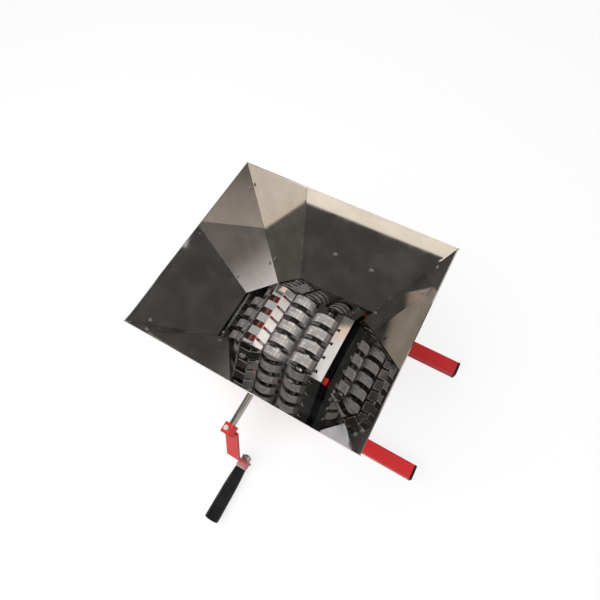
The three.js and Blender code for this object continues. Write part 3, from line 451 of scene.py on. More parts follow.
def turned(profile, steps, closed=False, outline=None):
    """A mesh about Z from (radius, height) points in mm. A closed profile makes a ring. For a piece that
    isn't round, outline(angle) is as far from Z as a point may be."""
    form = bmesh.new()
    angles = [2 * pi * i / steps for i in range(steps)]
    rings = []
    for radius, height in profile:
        if radius == 0:
            rings.append([form.verts.new((0, 0, height * MM))])
            continue
        reaches = [min(radius, outline(angle)) if outline else radius for angle in angles]
        rings.append([form.verts.new(Vector((reach * cos(angle), reach * sin(angle), height)) * MM)
                      for reach, angle in zip(reaches, angles)])
    pairs = list(zip(rings, rings[1:])) + ([(rings[-1], rings[0])] if closed else [])
    for low, high in pairs:
        for i in range(steps):
            corners = [ring[k % len(ring)] for ring, k in ((low, i), (low, i + 1), (high, i + 1), (high, i))]
            corners = list(dict.fromkeys(corners))
            if len(corners) > 2:
                form.faces.new(corners)
    bmesh.ops.recalc_face_normals(form, faces=form.faces)
    mesh = bpy.data.meshes.new("turned")
    form.to_mesh(mesh)
    form.free()
    return mesh


def smooth_over(mesh):
    """Smooth shading, with sharp edges kept crisp."""
    mesh.shade_smooth()
    mesh.set_sharp_from_angle(angle=radians(CRISP_OVER_DEG))
    return mesh


def geometry_tree(name, sockets):
    """An empty Geometry Nodes tree with a geometry output and named inputs, (name, kind, default)."""
    tree = bpy.data.node_groups.new(name, "GeometryNodeTree")
    tree.interface.new_socket(name="Geometry", in_out="INPUT", socket_type="NodeSocketGeometry")
    tree.interface.new_socket(name="Geometry", in_out="OUTPUT", socket_type="NodeSocketGeometry")
    for socket, kind, default in sockets:
        made = tree.interface.new_socket(name=socket, in_out="INPUT", socket_type=kind)
        if default is not None:
            made.default_value = default
    return tree, tree.nodes.new("NodeGroupInput").outputs


def end_tree(tree, instances, material):
    """Realizes the instances, sets their material and puts them out."""
    real = node(tree, "GeometryNodeRealizeInstances", {0: instances})
    painted = node(tree, "GeometryNodeSetMaterial", {"Geometry": real.outputs[0], "Material": material})
    node(tree, "NodeGroupOutput", {0: painted.outputs[0]})


def grown(name, start, tree, values):
    """The plain mesh that a Geometry Nodes tree makes from a start mesh, with its inputs set by name."""
    carrier = in_scene(name, start)
    modifier = carrier.modifiers.new(name, "NODES")
    modifier.node_group = tree
    identifiers = {item.name: item.identifier for item in tree.interface.items_tree if item.in_out == "INPUT"}
    for socket, value in values.items():
        modifier[identifiers[socket]] = value
    bpy.context.view_layer.update()
    evaluated = bpy.context.evaluated_depsgraph_get()
    mesh = bpy.data.meshes.new_from_object(carrier.evaluated_get(evaluated))
    mesh.name = name
    carrier.modifiers.clear()
    bpy.data.objects.remove(carrier)
    return mesh


def points_with_axes(places):
    """A mesh of loose points, each with the direction that a fastener's head faces there."""
    mesh = bpy.data.meshes.new("places")
    mesh.from_pydata([point for point, axis in places], [], [])
    facing = mesh.attributes.new("facing", "FLOAT_VECTOR", "POINT")
    facing.data.foreach_set("vector", [value for point, axis in places for value in axis])
    return mesh


def zinc(name, light, dark, roughness, metal):
    """Zinc plating: a cool grey with faint cloudy patches. metal is how far it shines as bare metal does."""
    made, tree, shader = new_material(name)
    surface, hazy = surface_of(tree, cloud_scale=90.0, roughness=(roughness, roughness + 0.18),
                               grain_values={"Scale": 1400.0}, depth=0.02)
    feed(tree, shader, {"Metallic": metal, "Base Color": mixed(tree, hazy, light, dark), **surface})
    return made


zinc_plate = zinc(
    "zinc_plate", light=(0.72, 0.73, 0.71, 1), dark=(0.48, 0.50, 0.49, 1), roughness=0.18, metal=0.8)
rivet_zinc = zinc(
    "rivet_zinc", light=(0.80, 0.81, 0.79, 1), dark=(0.62, 0.64, 0.62, 1), roughness=0.10, metal=1.0)


def corner_point(side_x, side_y, share):
    """The hopper's inner corner, a share of the way down from the mouth."""
    size = MOUTH.lerp(THROAT, share)
    return Vector((side_x * size.x / 2, side_y * size.y / 2, size.z))


rivet_places = []
for side_x in (-1, 1):
    for side_y in (-1, 1):
        normal = wall_normal(0, side_x)
        seam = (corner_point(side_x, side_y, 1) - corner_point(side_x, side_y, 0)).normalized()
        inward = seam.cross(normal)
        inward *= -side_y if inward.y > 0 else side_y
        for share in RIVET_SHARES:
            place = corner_point(side_x, side_y, share) + inward * SEAM_FLANGE / 2
            rivet_places.append((place, -normal))

rivet_form = bpy.data.objects.new("rivet_form", smooth_over(turned(RIVET_HEAD + RIVET_TAIL, RIVET_STEPS)))
rivet_tree, rivet_in = geometry_tree("rivets_through_sheet", [
    ("Form", "NodeSocketObject", None),
    ("Head Radius", "NodeSocketFloat", RIVET_RADIUS),
    ("Head Height", "NodeSocketFloat", RIVET_HEIGHT),
    ("Finish", "NodeSocketMaterial", None),
])
rivet_facing = node(rivet_tree, "GeometryNodeInputNamedAttribute", {"Name": "facing"},
                    data_type="FLOAT_VECTOR")
rivet_turn = node(rivet_tree, "FunctionNodeAlignRotationToVector", {"Vector": rivet_facing.outputs[0]},
                  axis="Z")
rivet_size = node(rivet_tree, "ShaderNodeCombineXYZ", {
    0: rivet_in["Head Radius"], 1: rivet_in["Head Radius"], 2: rivet_in["Head Height"]})
rivet_copies = node(rivet_tree, "GeometryNodeInstanceOnPoints", {
    "Points": rivet_in["Geometry"],
    "Instance": node(rivet_tree, "GeometryNodeObjectInfo", {"Object": rivet_in["Form"]}).outputs["Geometry"],
    "Rotation": rivet_turn.outputs[0],
    "Scale": rivet_size.outputs[0],
})
end_tree(rivet_tree, rivet_copies.outputs[0], rivet_in["Finish"])
rivets = grown("seam_rivets", points_with_axes(rivet_places), rivet_tree, {
    "Form": rivet_form, "Head Radius": RIVET_RADIUS, "Head Height": RIVET_HEIGHT, "Finish": rivet_zinc})
rivet_solids = [f"seam_rivet_{end}_{side}_{i}"
                for end in ("front", "rear") for side in ("left", "right") for i in (1, 2)]
finish_piece(in_scene("seam_rivets", rivets), "frame", [], rivet_solids)


# Rails: two drawn square steel tubes, powder coated red, that carry the machine across a tub. Black moulded
# caps with a hollow plug are pushed into their ends.
RED = (0.640, 0.026, 0.030, 1)
RED_FADED = (0.580, 0.032, 0.032, 1)
PRIMER = (0.62, 0.30, 0.28, 1)
SOFT_GLOSS = 0.22
RAIL_EDGE = 0.45
CAP_EDGE = 1.6

# Edge wear: 1 along a sharp edge, broken up by noise, 0 on flats
edge_wear, edge_in, edge_out = new_group("edge_wear", [
    ("Vector", "NodeSocketVector", None),
    ("Width", "NodeSocketFloat", 0.001),
    ("Amount", "NodeSocketFloat", 0.5),
], [("Mask", "NodeSocketFloat")])
SHARP_BETWEEN = (0.99, 0.80)
PATCH_EDGES = (0.44, 0.62)
rounded = node(edge_wear, "ShaderNodeBevel", {"Radius": edge_in["Width"]}, samples=4).outputs[0]
flat = node(edge_wear, "ShaderNodeNewGeometry").outputs["Normal"]
turned_away = vector_node(edge_wear, "DOT_PRODUCT", rounded, flat, output="Value")
sharp = ramp(edge_wear, turned_away, *SHARP_BETWEEN)
patches = node(edge_wear, "ShaderNodeTexNoise", {"Vector": edge_in["Vector"], "Scale": 90.0, "Detail": 4.0})
broken = ramp(edge_wear, patches.outputs[0], *PATCH_EDGES, end=edge_in["Amount"])
edge_wear.links.new(math_node(edge_wear, "MULTIPLY", sharp, broken), edge_out["Mask"])


ORANGE_PEEL = {"Scale": 620.0, "Detail": 1.0}


def powder_coat(name, colour, faded, worn, wear, mirrored=1.0, painted_light=None):
    """Thick enamel with a fine orange peel, worn to primer along its edges. mirrored is as for polished
    steel. The last argument is a place on X and the colour that the coat has on that place's left: a painted
    patch of light."""
    made, tree, shader = new_material(name)
    place = object_coordinates(tree)
    surface, hazy = surface_of(tree, cloud_scale=22.0, roughness=(0.30, 0.42), grain_values=ORANGE_PEEL,
                               depth=0.05)
    edges = use_group(tree, edge_wear, {"Vector": place, "Width": 0.9 * MM, "Amount": wear})
    coat = mixed(tree, hazy, colour, faded)
    if painted_light:
        across = node(tree, "ShaderNodeSeparateXYZ", {0: place}).outputs[0]
        coat = mixed(tree, math_node(tree, "LESS_THAN", across, painted_light[0]), coat, painted_light[1])
    feed(tree, shader, {
        "Base Color": dimmed_in_mirrors(tree, mixed(tree, edges["Mask"], coat, worn), mirrored),
        "Specular IOR Level": SOFT_GLOSS,
        **surface,
    })
    return made


def black_finish(name, colour, scuffed, roughness, pits):
    """Black with a fine pitted texture and pale scuffs, as on moulded plastic or blackened plate."""
    made, tree, shader = new_material(name)
    surface, hazy = surface_of(tree, cloud_scale=45.0, roughness=(roughness, roughness + 0.15),
                               grain_values={"Scale": pits, "Detail": 2.0}, depth=0.06)
    feed(tree, shader, {
        "Base Color": mixed(tree, hazy, colour, scuffed),
        "Specular IOR Level": SOFT_GLOSS,
        **surface,
    })
    return made


red_enamel = powder_coat("red_enamel", RED, RED_FADED, PRIMER, wear=0.55)
cap_plastic = black_finish(
    "cap_plastic", (0.011, 0.011, 0.012, 1), (0.020, 0.020, 0.021, 1), roughness=0.42, pits=900.0)
for end in ("front", "rear"):
    eased(f"rail_tube_{end}", f"rail_{end}", "frame", [red_enamel], RAIL_EDGE)
    for side in ("left", "right"):
        eased(f"rail_plug_{end}_{side}", f"rail_cap_{end}_{side}", "frame", [cap_plastic],
              CAP_EDGE)


# Crushing box: two end plates that carry the rollers and two side plates that stand on the rails. They are
# pressed steel, enamelled red outside and left as bare polished sheet inside, where the fruit runs. The side
# plates' insides are painted: a reflection of red on the left, shade on the right.
BOX_END = 64 * MM
BOX_SIDE = 83.75 * MM
INSIDE_LOWEST = 30 * MM
LEDGE_BELOW = 90 * MM
PLATE_EDGE = 0.35
# The ledge's red is paler than the rails', painted light in the notch's shade; left of a place on X it is
# brownish, a painted lit patch, and in mirrors it keeps 0.08 of its colour, painted shade.
LEDGE_RED = (0.62, 0.10, 0.09, 1)
LEDGE_FADED = (0.52, 0.12, 0.10, 1)
LEDGE_PAINTED_LIGHT = (-79.5 * MM, (0.74, 0.50, 0.40, 1))
OUTSIDE, WALL_FACE, LEDGE_FACE = range(3)

bare_steel = polished_steel(
    "bare_steel", clean=(0.50, 0.49, 0.475, 1), worn=(0.40, 0.39, 0.375, 1), roughness=(0.10, 0.22),
    metal=(1.0, 0.9), waves=20.0, wave_depth=0.06)
# Brownish steel for the left side plate's inside: a painted reflection of the red ledge under the comb.
red_reflection_steel = polished_steel(
    "red_reflection_steel", clean=(0.56, 0.34, 0.26, 1), worn=(0.44, 0.25, 0.19, 1), roughness=(0.30, 0.40),
    metal=(0.35, 0.20), waves=20.0, wave_depth=0.06, mirrored=0.3)
# Black for the right side plate's inside and ledge: painted shade in the dark channel beside the right comb.
shade_black = black_finish(
    "painted_shade_black", (0.012, 0.012, 0.012, 1), (0.022, 0.021, 0.020, 1), roughness=0.55, pits=500.0)
ledge_enamel = powder_coat(
    "ledge_enamel", LEDGE_RED, LEDGE_FADED, PRIMER, wear=0.55, mirrored=0.08, painted_light=LEDGE_PAINTED_LIGHT)


def inside_face(axis, reach):
    """Picks the faces of a box plate that look into the box across X (axis 0) or Y (axis 1), and a ledge."""
    def picks(face):
        middle = face.calc_center_median()
        inwards = face.normal[axis] * (-1 if middle[axis] > 0 else 1)
        if inwards > LOOKS_ALONG and abs(middle[axis]) < reach + MM and middle.z > INSIDE_LOWEST:
            return WALL_FACE
        if face.normal.z > LOOKS_ALONG and abs(middle.x) < BOX_SIDE and middle.z < LEDGE_BELOW:
            return LEDGE_FACE
        return OUTSIDE
    return picks


for end in ("front", "rear"):
    eased(f"box_end_{end}", f"end_plate_{end}", "frame", [red_enamel, bare_steel, bare_steel],
          PLATE_EDGE, inside_face(1, BOX_END))
# Inside the side plates: painted reflection and a ledge with a painted lit patch on the left, painted shade
# on the right.
for side, inside in (("left", [red_reflection_steel, ledge_enamel]), ("right", [shade_black, shade_black])):
    eased(f"box_side_{side}", f"side_plate_{side}", "frame", [red_enamel] + inside, PLATE_EDGE,
          inside_face(0, BOX_SIDE))


# Stays: four flat bars from the rails up to the hopper's front and rear walls. The front pair is bolted
# through the wall with round headed bolts and hexagon nuts.
STAY_EDGE = 0.5
NUT_EDGE = 0.35
for end in ("front", "rear"):
    for side in ("left", "right"):
        eased(f"stay_bar_{end}_{side}", f"stay_{end}_{side}", "frame", [red_enamel], STAY_EDGE)
for side in ("left", "right"):
    eased(f"stay_hexagon_{side}", f"stay_nut_{side}", "frame", [zinc_plate], NUT_EDGE)
    eased(f"stay_screw_{side}", f"stay_bolt_{side}", "frame", [zinc_plate], NUT_EDGE)


# Combs: two bent stainless sheets on the box's side walls that strip the rollers and lead the fruit in. The
# left one is notched over a red ledge, the right one stands on its own two legs.
COMB_EDGE = 0.25
CUT_FACE_AREA = 45 * MM * MM
CUT_FACE_UPWARD = 0.5
# In the hopper's mirrors the comb keeps a quarter of its colour: painted shade.
comb_steel = polished_steel(
    "comb_steel", clean=(0.74, 0.74, 0.74, 1), worn=(0.66, 0.66, 0.65, 1), roughness=(0.05, 0.12),
    metal=(1.0, 0.9), waves=30.0, wave_depth=0.06, mirrored=0.25)
cut_steel = polished_steel(
    "cut_steel", clean=(0.92, 0.91, 0.90, 1), worn=(0.96, 0.95, 0.95, 1), roughness=(0.30, 0.45),
    metal=(0.30, 0.15), waves=30.0, wave_depth=0.02)


def cut_face(face):
    """Picks the narrow faces that a shear left round the teeth."""
    return int(abs(face.normal.z) < CUT_FACE_UPWARD and face.calc_area() < CUT_FACE_AREA)


for side, edge_material in (("left", 1), ("right", -1)):
    eased(f"comb_sheet_{side}", f"comb_{side}", "frame", [comb_steel, cut_steel], COMB_EDGE,
          cut_face, edge_material)


# Rollers: hooked blades bent from stainless strip and welded to a short hub, five on the driven shaft and
# four on the other, so that each roller's blades face the other's spaces. The strip's outer face is planished
# into small flats. Sizes are in mm.
ROLLERS = {"drive": -1, "idler": 1}
SHAFT_X = 26.0
SHAFT_Z = 86.0
BLADE_RADIUS = 25.2
BLADE_THICKNESS = 3.0
BLADE_BEND = 6.0
BEND_STEPS = 5
BLADE_WIDTH = 17.2
BLADE_PITCH = 27.0
BLADE_COUNTS = {"drive": 5, "idler": 4}
HUB_RADIUS = 10.0
HUB_CHAMFER = 0.5
BORE_RADIUS = 6.3
ROLLER_END = 62.7
ROOT_DEG = 185
TIP_DEG = 26
# For each roller: tiles round a blade's rim, tiles across the blade
TILING = {"drive": (10, 4), "idler": (7, 3)}
TILE_SEED = 7
TILE_TILT = 0.14
GROOVE_DEPTH = 0.20
GROOVE_HALF = 0.24
TILE_SHADES = (0.55, 1.0)
# Tile shades: the tiles' own tints vary at random; grooves, backs and the strip's sides are painted darker, a
# painted shade in creases, under the hooks and on their sides.
GROOVE_SHADE, BACK_SHADE, SIDE_SHADE, TIP_SHADE = 0.35, 0.40, 0.18, 1.0
TILE_DARK = (0.16, 0.145, 0.14, 1)
TILE_BRIGHT = (1.0, 0.955, 0.93, 1)
TURNED_STEPS = 48


def polar(radius, angle):
    return Vector((radius * cos(angle), radius * sin(angle)))


def hook_line(tiles_round):
    """The middle line of a hook: out from the hub, round the bend, then along the rim to the tip, a point to
    each tile. Also the number of the point where the rim starts."""
    rim = BLADE_RADIUS - BLADE_THICKNESS / 2
    bend_reach = rim - BLADE_BEND
    swing = asin(BLADE_BEND / bend_reach)
    root = radians(ROOT_DEG)
    centre = polar(bend_reach, root - swing)
    line = [polar(HUB_RADIUS - BLADE_THICKNESS, root), polar(bend_reach * cos(swing), root)]
    for i in range(1, BEND_STEPS + 1):
        angle = root + pi / 2 - (pi / 2 + swing) * i / BEND_STEPS
        line.append(centre + polar(BLADE_BEND, angle))
    rim_start = len(line) - 1
    for i in range(1, tiles_round + 1):
        share = i / tiles_round
        line.append(polar(rim, (root - swing) * (1 - share) + radians(TIP_DEG) * share))
    return line, rim_start


def strip_faces(line):
    """The outer and inner faces of a strip that follows the line, as points beside each of its points."""
    outer, inner = [], []
    for i, point in enumerate(line):
        along = (line[min(i + 1, len(line) - 1)] - line[max(i - 1, 0)]).normalized()
        across = Vector((along.y, -along.x)) * BLADE_THICKNESS / 2
        outer.append(point - across)
        inner.append(point + across)
    if outer[-1].length < inner[-1].length:
        return inner, outer
    return outer, inner


def blade_mesh(sense, seed, tiles_round, tiles_across):
    """One blade about the Y axis: two hooks half a turn apart, with tiles on their rims."""
    chance = Random(seed)
    line, rim_start = hook_line(tiles_round)
    outer, inner = strip_faces(line)
    rows = [BLADE_WIDTH * (k / tiles_across - 0.5) for k in range(tiles_across + 1)]
    form = bmesh.new()
    shade = form.faces.layers.float.new("tile_shade")

    def vertex(flat, depth, half):
        return form.verts.new(Vector((sense * half * flat.x, depth, half * flat.y)) * MM)

    def panel(corners, value):
        face = form.faces.new(corners)
        face[shade] = value

    def raised_tile(i, k, half):
        """A tile's four corners, drawn in from the grooves round it and tilted a little."""
        step = (outer[i + 1] - outer[i]).normalized()
        corners = []
        for a, b, forwards, sideways in ((i, k, 1, 1), (i + 1, k, -1, 1), (i + 1, k + 1, -1, -1),
                                         (i, k + 1, 1, -1)):
            inset = outer[a] + step * forwards * GROOVE_HALF
            lift = 1 + chance.uniform(-TILE_TILT, TILE_TILT) / inset.length
            corners.append(vertex(inset * lift, rows[b] + sideways * GROOVE_HALF, half))
        return corners

    for half in (1, -1):
        lowered = [[vertex(point * (1 if i < rim_start else 1 - GROOVE_DEPTH / point.length), depth, half)
                    for depth in rows] for i, point in enumerate(outer)]
        under = [[vertex(point, depth, half) for depth in rows] for point in inner]
        for i in range(len(line) - 1):
            for k in range(tiles_across):
                ring = [lowered[i][k], lowered[i + 1][k], lowered[i + 1][k + 1], lowered[i][k + 1]]
                panel([under[i][k], under[i][k + 1], under[i + 1][k + 1], under[i + 1][k]], BACK_SHADE)
                if i < rim_start:
                    panel(ring, BACK_SHADE)
                    continue
                value = chance.uniform(*TILE_SHADES)
                raised = raised_tile(i, k, half)
                panel(raised, value)
                for j in range(4):
                    panel([ring[j], ring[(j + 1) % 4], raised[(j + 1) % 4], raised[j]], GROOVE_SHADE)
            for k in (0, tiles_across):
                panel([lowered[i][k], lowered[i + 1][k], under[i + 1][k], under[i][k]], SIDE_SHADE)
        for i in (0, len(line) - 1):
            for k in range(tiles_across):
                panel([lowered[i][k], lowered[i][k + 1], under[i][k + 1], under[i][k]], TIP_SHADE)
    bmesh.ops.recalc_face_normals(form, faces=form.faces)
    mesh = bpy.data.meshes.new("blade")
    form.to_mesh(mesh)
    form.free()
    return mesh


blade_steel, blade_tree, blade_shader = new_material("blade_steel")
blade_surface, _ = surface_of(blade_tree, cloud_scale=60.0, roughness=(0.30, 0.36),
                              grain_values={"Stretch": (1, 0.1, 1), "Scale": 900.0}, depth=0.004)
tile_shade = node(blade_tree, "ShaderNodeAttribute", attribute_name="tile_shade").outputs["Fac"]
tile_colour = mixed(blade_tree, tile_shade, TILE_DARK, TILE_BRIGHT)
# In other mirrors the blades keep half their colour: painted shade.
feed(blade_tree, blade_shader, {
    "Metallic": 0.55,
    "Base Color": dimmed_in_mirrors(blade_tree, tile_colour, share=0.5),
    **blade_surface,
})

blade_row, blade_in = geometry_tree("blades_along_a_shaft", [
    ("Form", "NodeSocketObject", None),
    ("Count", "NodeSocketInt", 5),
    ("Pitch", "NodeSocketFloat", BLADE_PITCH * MM),
    ("Place", "NodeSocketVector", (0, 0, 0)),
    ("Finish", "NodeSocketMaterial", None),
])
row_step = node(blade_row, "ShaderNodeCombineXYZ", {1: blade_in["Pitch"]})
row_line = node(blade_row, "GeometryNodeMeshLine", {
    "Count": blade_in["Count"], "Start Location": blade_in["Place"], "Offset": row_step.outputs[0]})
row_copies = node(blade_row, "GeometryNodeInstanceOnPoints", {
    "Points": row_line.outputs[0],
    "Instance": node(blade_row, "GeometryNodeObjectInfo", {"Object": blade_in["Form"]}).outputs["Geometry"],
})
end_tree(blade_row, row_copies.outputs[0], blade_in["Finish"])


def bar_profile(bore, radius, length, chamfer):
    """The outline of a round bar or tube with chamfered ends."""
    return [(bore, 0), (radius - chamfer, 0), (radius, chamfer), (radius, length - chamfer),
            (radius - chamfer, length), (bore, length)]


def along_shaft(x, y, z, out=1):
    """A place in mm, turned so that +Z runs to the rear, or to the front where out is -1."""
    return Matrix.Translation(Vector((x, y, z)) * MM) @ Matrix.Rotation(radians(-90 * out), 4, "X")


def placed_piece(name, meshes, placing, body, material, solids):
    """Joins meshes into one piece and puts it in place."""
    form = bmesh.new()
    for mesh in meshes:
        form.from_mesh(mesh)
    whole = bpy.data.meshes.new(name)
    form.to_mesh(whole)
    form.free()
    whole.transform(placing)
    return finish_piece(in_scene(name, smooth_over(whole)), body, [material], solids)


for roller, side in ROLLERS.items():
    count = BLADE_COUNTS[roller]
    blade_form = bpy.data.objects.new(
        f"{roller}_blade_form", blade_mesh(-side, TILE_SEED + count, *TILING[roller]))
    first = -(count - 1) / 2 * BLADE_PITCH
    blades = grown(f"{roller}_blades", bpy.data.meshes.new("empty"), blade_row, {
        "Form": blade_form, "Count": count, "Pitch": BLADE_PITCH * MM,
        "Place": (side * SHAFT_X * MM, first * MM, SHAFT_Z * MM), "Finish": blade_steel})
    finish_piece(in_scene(f"{roller}_blades", blades), f"{roller}_roller", [],
                 [f"{roller}_blade_{i + 1}" for i in range(count)])
    hub = bar_profile(BORE_RADIUS, HUB_RADIUS, 2 * ROLLER_END, HUB_CHAMFER)
    placed_piece(f"{roller}_hub_tube", [turned(hub, TURNED_STEPS, closed=True)],
                 along_shaft(side * SHAFT_X, -ROLLER_END, SHAFT_Z), f"{roller}_roller",
                 comb_steel, [])


# Shafts: two ground steel bars. The driven one reaches out past the front rail to the crank, the other ends
# in its set collar.
SHAFT_RADIUS = 6.0
SHAFT_CHAMFER = 0.8
SHAFT_STEPS = 64
SHAFT_REAR = 83.9
SHAFT_FRONTS = {"drive": -202.5, "idler": -81.6}

GROUND_BRIGHT = (0.66, 0.66, 0.64, 1)
GROUND_DULL = (0.50, 0.50, 0.48, 1)
ground_steel, ground_tree, ground_shader = new_material("ground_steel")
ground_surface, ground_haze = surface_of(
    ground_tree, cloud_scale=30.0, roughness=(0.16, 0.30),
    grain_values={"Stretch": (0.05, 1, 0.05), "Scale": 2600.0}, depth=0.03)
feed(ground_tree, ground_shader, {
    "Metallic": 1.0,
    "Base Color": mixed(ground_tree, ground_haze, GROUND_BRIGHT, GROUND_DULL),
    "Anisotropic": 0.4,
    **ground_surface,
})
for roller, side in ROLLERS.items():
    front = SHAFT_FRONTS[roller]
    bar = bar_profile(0, SHAFT_RADIUS, SHAFT_REAR - front, SHAFT_CHAMFER)
    placed_piece(f"{roller}_shaft_bar", [turned(bar, SHAFT_STEPS)],
                 along_shaft(side * SHAFT_X, front, SHAFT_Z), f"{roller}_roller",
                 ground_steel, [f"{roller}_shaft"])


# Bushes: flanged sleeves of sintered bronze pushed into the end plates from outside, and set collars of
# plated steel that keep the shafts from sliding.
BUSH_INNER = 63.0
BUSH_SHOULDER = 67.3
BUSH_OUTER = 70.3
BUSH_BARREL = 10.0
BUSH_FLANGE = 14.0
COLLAR_START = 70.6
COLLAR_LENGTH = 8.0
COLLAR_RADIUS = 11.0
CHAMFER = 0.6

BRONZE_CLEAN = (0.47, 0.29, 0.10, 1)
BRONZE_DULL = (0.30, 0.18, 0.07, 1)
bronze, bronze_tree, bronze_shader = new_material("sintered_bronze")
bronze_surface, bronze_haze = surface_of(bronze_tree, cloud_scale=120.0, roughness=(0.34, 0.55),
                                         grain_values={"Scale": 1800.0}, depth=0.05)
feed(bronze_tree, bronze_shader, {
    "Metallic": 1.0,
    "Base Color": mixed(bronze_tree, bronze_haze, BRONZE_CLEAN, BRONZE_DULL),
    **bronze_surface,
})


def outer_end(radius, length):
    """The end of a bush or collar that faces out, chamfered outside and at the bore."""
    return [(radius, length - CHAMFER), (radius - CHAMFER, length), (BORE_RADIUS + CHAMFER, length),
            (BORE_RADIUS, length - CHAMFER)]


barrel = BUSH_SHOULDER - BUSH_INNER
bush = [(BORE_RADIUS, 0), (BUSH_BARREL - CHAMFER, 0), (BUSH_BARREL, CHAMFER), (BUSH_BARREL, barrel),
        (BUSH_FLANGE - CHAMFER / 2, barrel), (BUSH_FLANGE, barrel + CHAMFER / 2)]
bush += outer_end(BUSH_FLANGE, BUSH_OUTER - BUSH_INNER)
collar = [(BORE_RADIUS, 0), (COLLAR_RADIUS - CHAMFER, 0), (COLLAR_RADIUS, CHAMFER)]
collar += outer_end(COLLAR_RADIUS, COLLAR_LENGTH)
for roller, side in ROLLERS.items():
    for end, out in (("front", -1), ("rear", 1)):
        placed_piece(f"bush_sleeve_{end}_{roller}", [turned(bush, TURNED_STEPS, closed=True)],
                     along_shaft(side * SHAFT_X, out * BUSH_INNER, SHAFT_Z, out), "frame", bronze,
                     [f"bush_{end}_{roller}"])
    placed_piece(f"set_collar_{roller}", [turned(collar, TURNED_STEPS, closed=True)],
                 along_shaft(side * SHAFT_X, -COLLAR_START, SHAFT_Z, -1), f"{roller}_roller",
                 zinc_plate, [f"collar_{roller}"])


# Gears: an equal pair of zinc plated spur gears, fixed on the shafts behind the rear end plate. They turn the
# rollers towards each other at one speed.
GEAR_EDGE = 0.3
for roller in ROLLERS:
    eased(f"spur_gear_{roller}", f"gear_{roller}", f"{roller}_roller", [zinc_plate], GEAR_EDGE)


# Crank: a square hub held on the shaft by a hexagon screw, and a flat arm welded to it that steps outwards
# and ends in a round boss. Both are enamelled red; round the boss the red is painted paler and pinker, a
# painted reflection, and the arm's edges go greyish pink, partly wear and partly a painted sheen.
CRANK_TURN_DEG = -14
CRANK_RADIUS = 112.0
HUB_MIDDLE = -193.5
HUB_TOP = 10.0
HUB_EDGE = 2.2
ARM_EDGE = 0.7
# Within these distances of the handle's axis the red goes paler and pinker: a painted reflection on the boss.
REFLECTION_FROM = 21 * MM
REFLECTION_FULL_AT = 15 * MM
REFLECTION_MOST = 0.75
BOSS_REFLECTION_RED = (0.46, 0.26, 0.26, 1)
# The arm's edge colour: partly worn paint, partly a painted sheen.
ARM_WEAR_AND_SHEEN = (0.52, 0.42, 0.40, 1)
FIT = 0.3
SCREW_FLATS = 8.0
SCREW_HEAD = 3.5
SCREW_CHAMFER = 0.6
SCREW_RADIUS = 2.7
SCREW_DEPTH = 2.4
SCREW_POINT = 0.5
SCREW_OVERLAP = 0.2
SCREW_STEPS = 32
HEXAGON_STEPS = 72
# The circle that a hexagon's corners are turned off to, as a share of the one inside its flats
TURNED_OFF = 0.98
crank_place = Matrix.Translation(Vector((-SHAFT_X, 0, SHAFT_Z)) * MM)
crank_place = crank_place @ Matrix.Rotation(radians(CRANK_TURN_DEG), 4, "Y")

arm_enamel, arm_tree, arm_shader = new_material("arm_enamel")
arm_place = object_coordinates(arm_tree)
arm_surface, arm_haze = surface_of(arm_tree, cloud_scale=30.0, roughness=(0.30, 0.40),
                                   grain_values=ORANGE_PEEL, depth=0.05)
arm_edges = use_group(arm_tree, edge_wear, {"Vector": arm_place, "Width": 1.0 * MM, "Amount": 0.9})
pin = crank_place @ Vector((0, 0, -CRANK_RADIUS * MM))
across_pin = vector_node(arm_tree, "MULTIPLY", vector_node(arm_tree, "SUBTRACT", arm_place, pin), (1, 0, 1))
from_pin = vector_node(arm_tree, "LENGTH", across_pin, output="Value")
boss_reflection = ramp(arm_tree, from_pin, REFLECTION_FROM, REFLECTION_FULL_AT, end=REFLECTION_MOST, interpolation_type="SMOOTHSTEP")
arm_coat = mixed(arm_tree, boss_reflection, mixed(arm_tree, arm_haze, RED, RED_FADED), BOSS_REFLECTION_RED)
feed(arm_tree, arm_shader, {
    "Base Color": mixed(arm_tree, arm_edges["Mask"], arm_coat, ARM_WEAR_AND_SHEEN),
    **arm_surface,
})
eased("crank_block", "crank_hub", "drive_roller", [arm_enamel], HUB_EDGE)
eased("crank_bar", "crank_arm", "drive_roller", [arm_enamel], ARM_EDGE)


def hexagon(flats, height, chamfer, bore=0.0):
    """A hexagon of flats across, in mm. A screw head has its corners turned off at the top, and a nut, which
    has a bore, at both ends."""
    def outline(angle):
        return flats / 2 / cos(angle % (pi / 3) - pi / 6)

    corner = flats / sqrt(3)
    end = flats / 2 * TURNED_OFF
    top = [(corner, height - chamfer), (end, height)]
    if bore:
        profile = [(end, 0), (corner, chamfer)] + top + [(bore, height), (bore, 0)]
    else:
        profile = [(0, 0), (corner, 0)] + top + [(0, height)]
    return turned(profile, HEXAGON_STEPS, closed=bool(bore), outline=outline)


bright_zinc = zinc(
    "bright_zinc", light=(0.90, 0.91, 0.89, 1), dark=(0.66, 0.69, 0.67, 1), roughness=0.22, metal=0.35)
screw_shank = [(0, -SCREW_DEPTH), (SCREW_RADIUS - SCREW_POINT, -SCREW_DEPTH),
               (SCREW_RADIUS, SCREW_POINT - SCREW_DEPTH), (SCREW_RADIUS, SCREW_OVERLAP), (0, SCREW_OVERLAP)]
screw_parts = [hexagon(SCREW_FLATS, SCREW_HEAD, SCREW_CHAMFER), turned(screw_shank, SCREW_STEPS)]
placed_piece("hub_set_screw", screw_parts,
             crank_place @ Matrix.Translation(Vector((0, HUB_MIDDLE, HUB_TOP + FIT)) * MM),
             "drive_roller", bright_zinc, ["crank_hub_screw"])


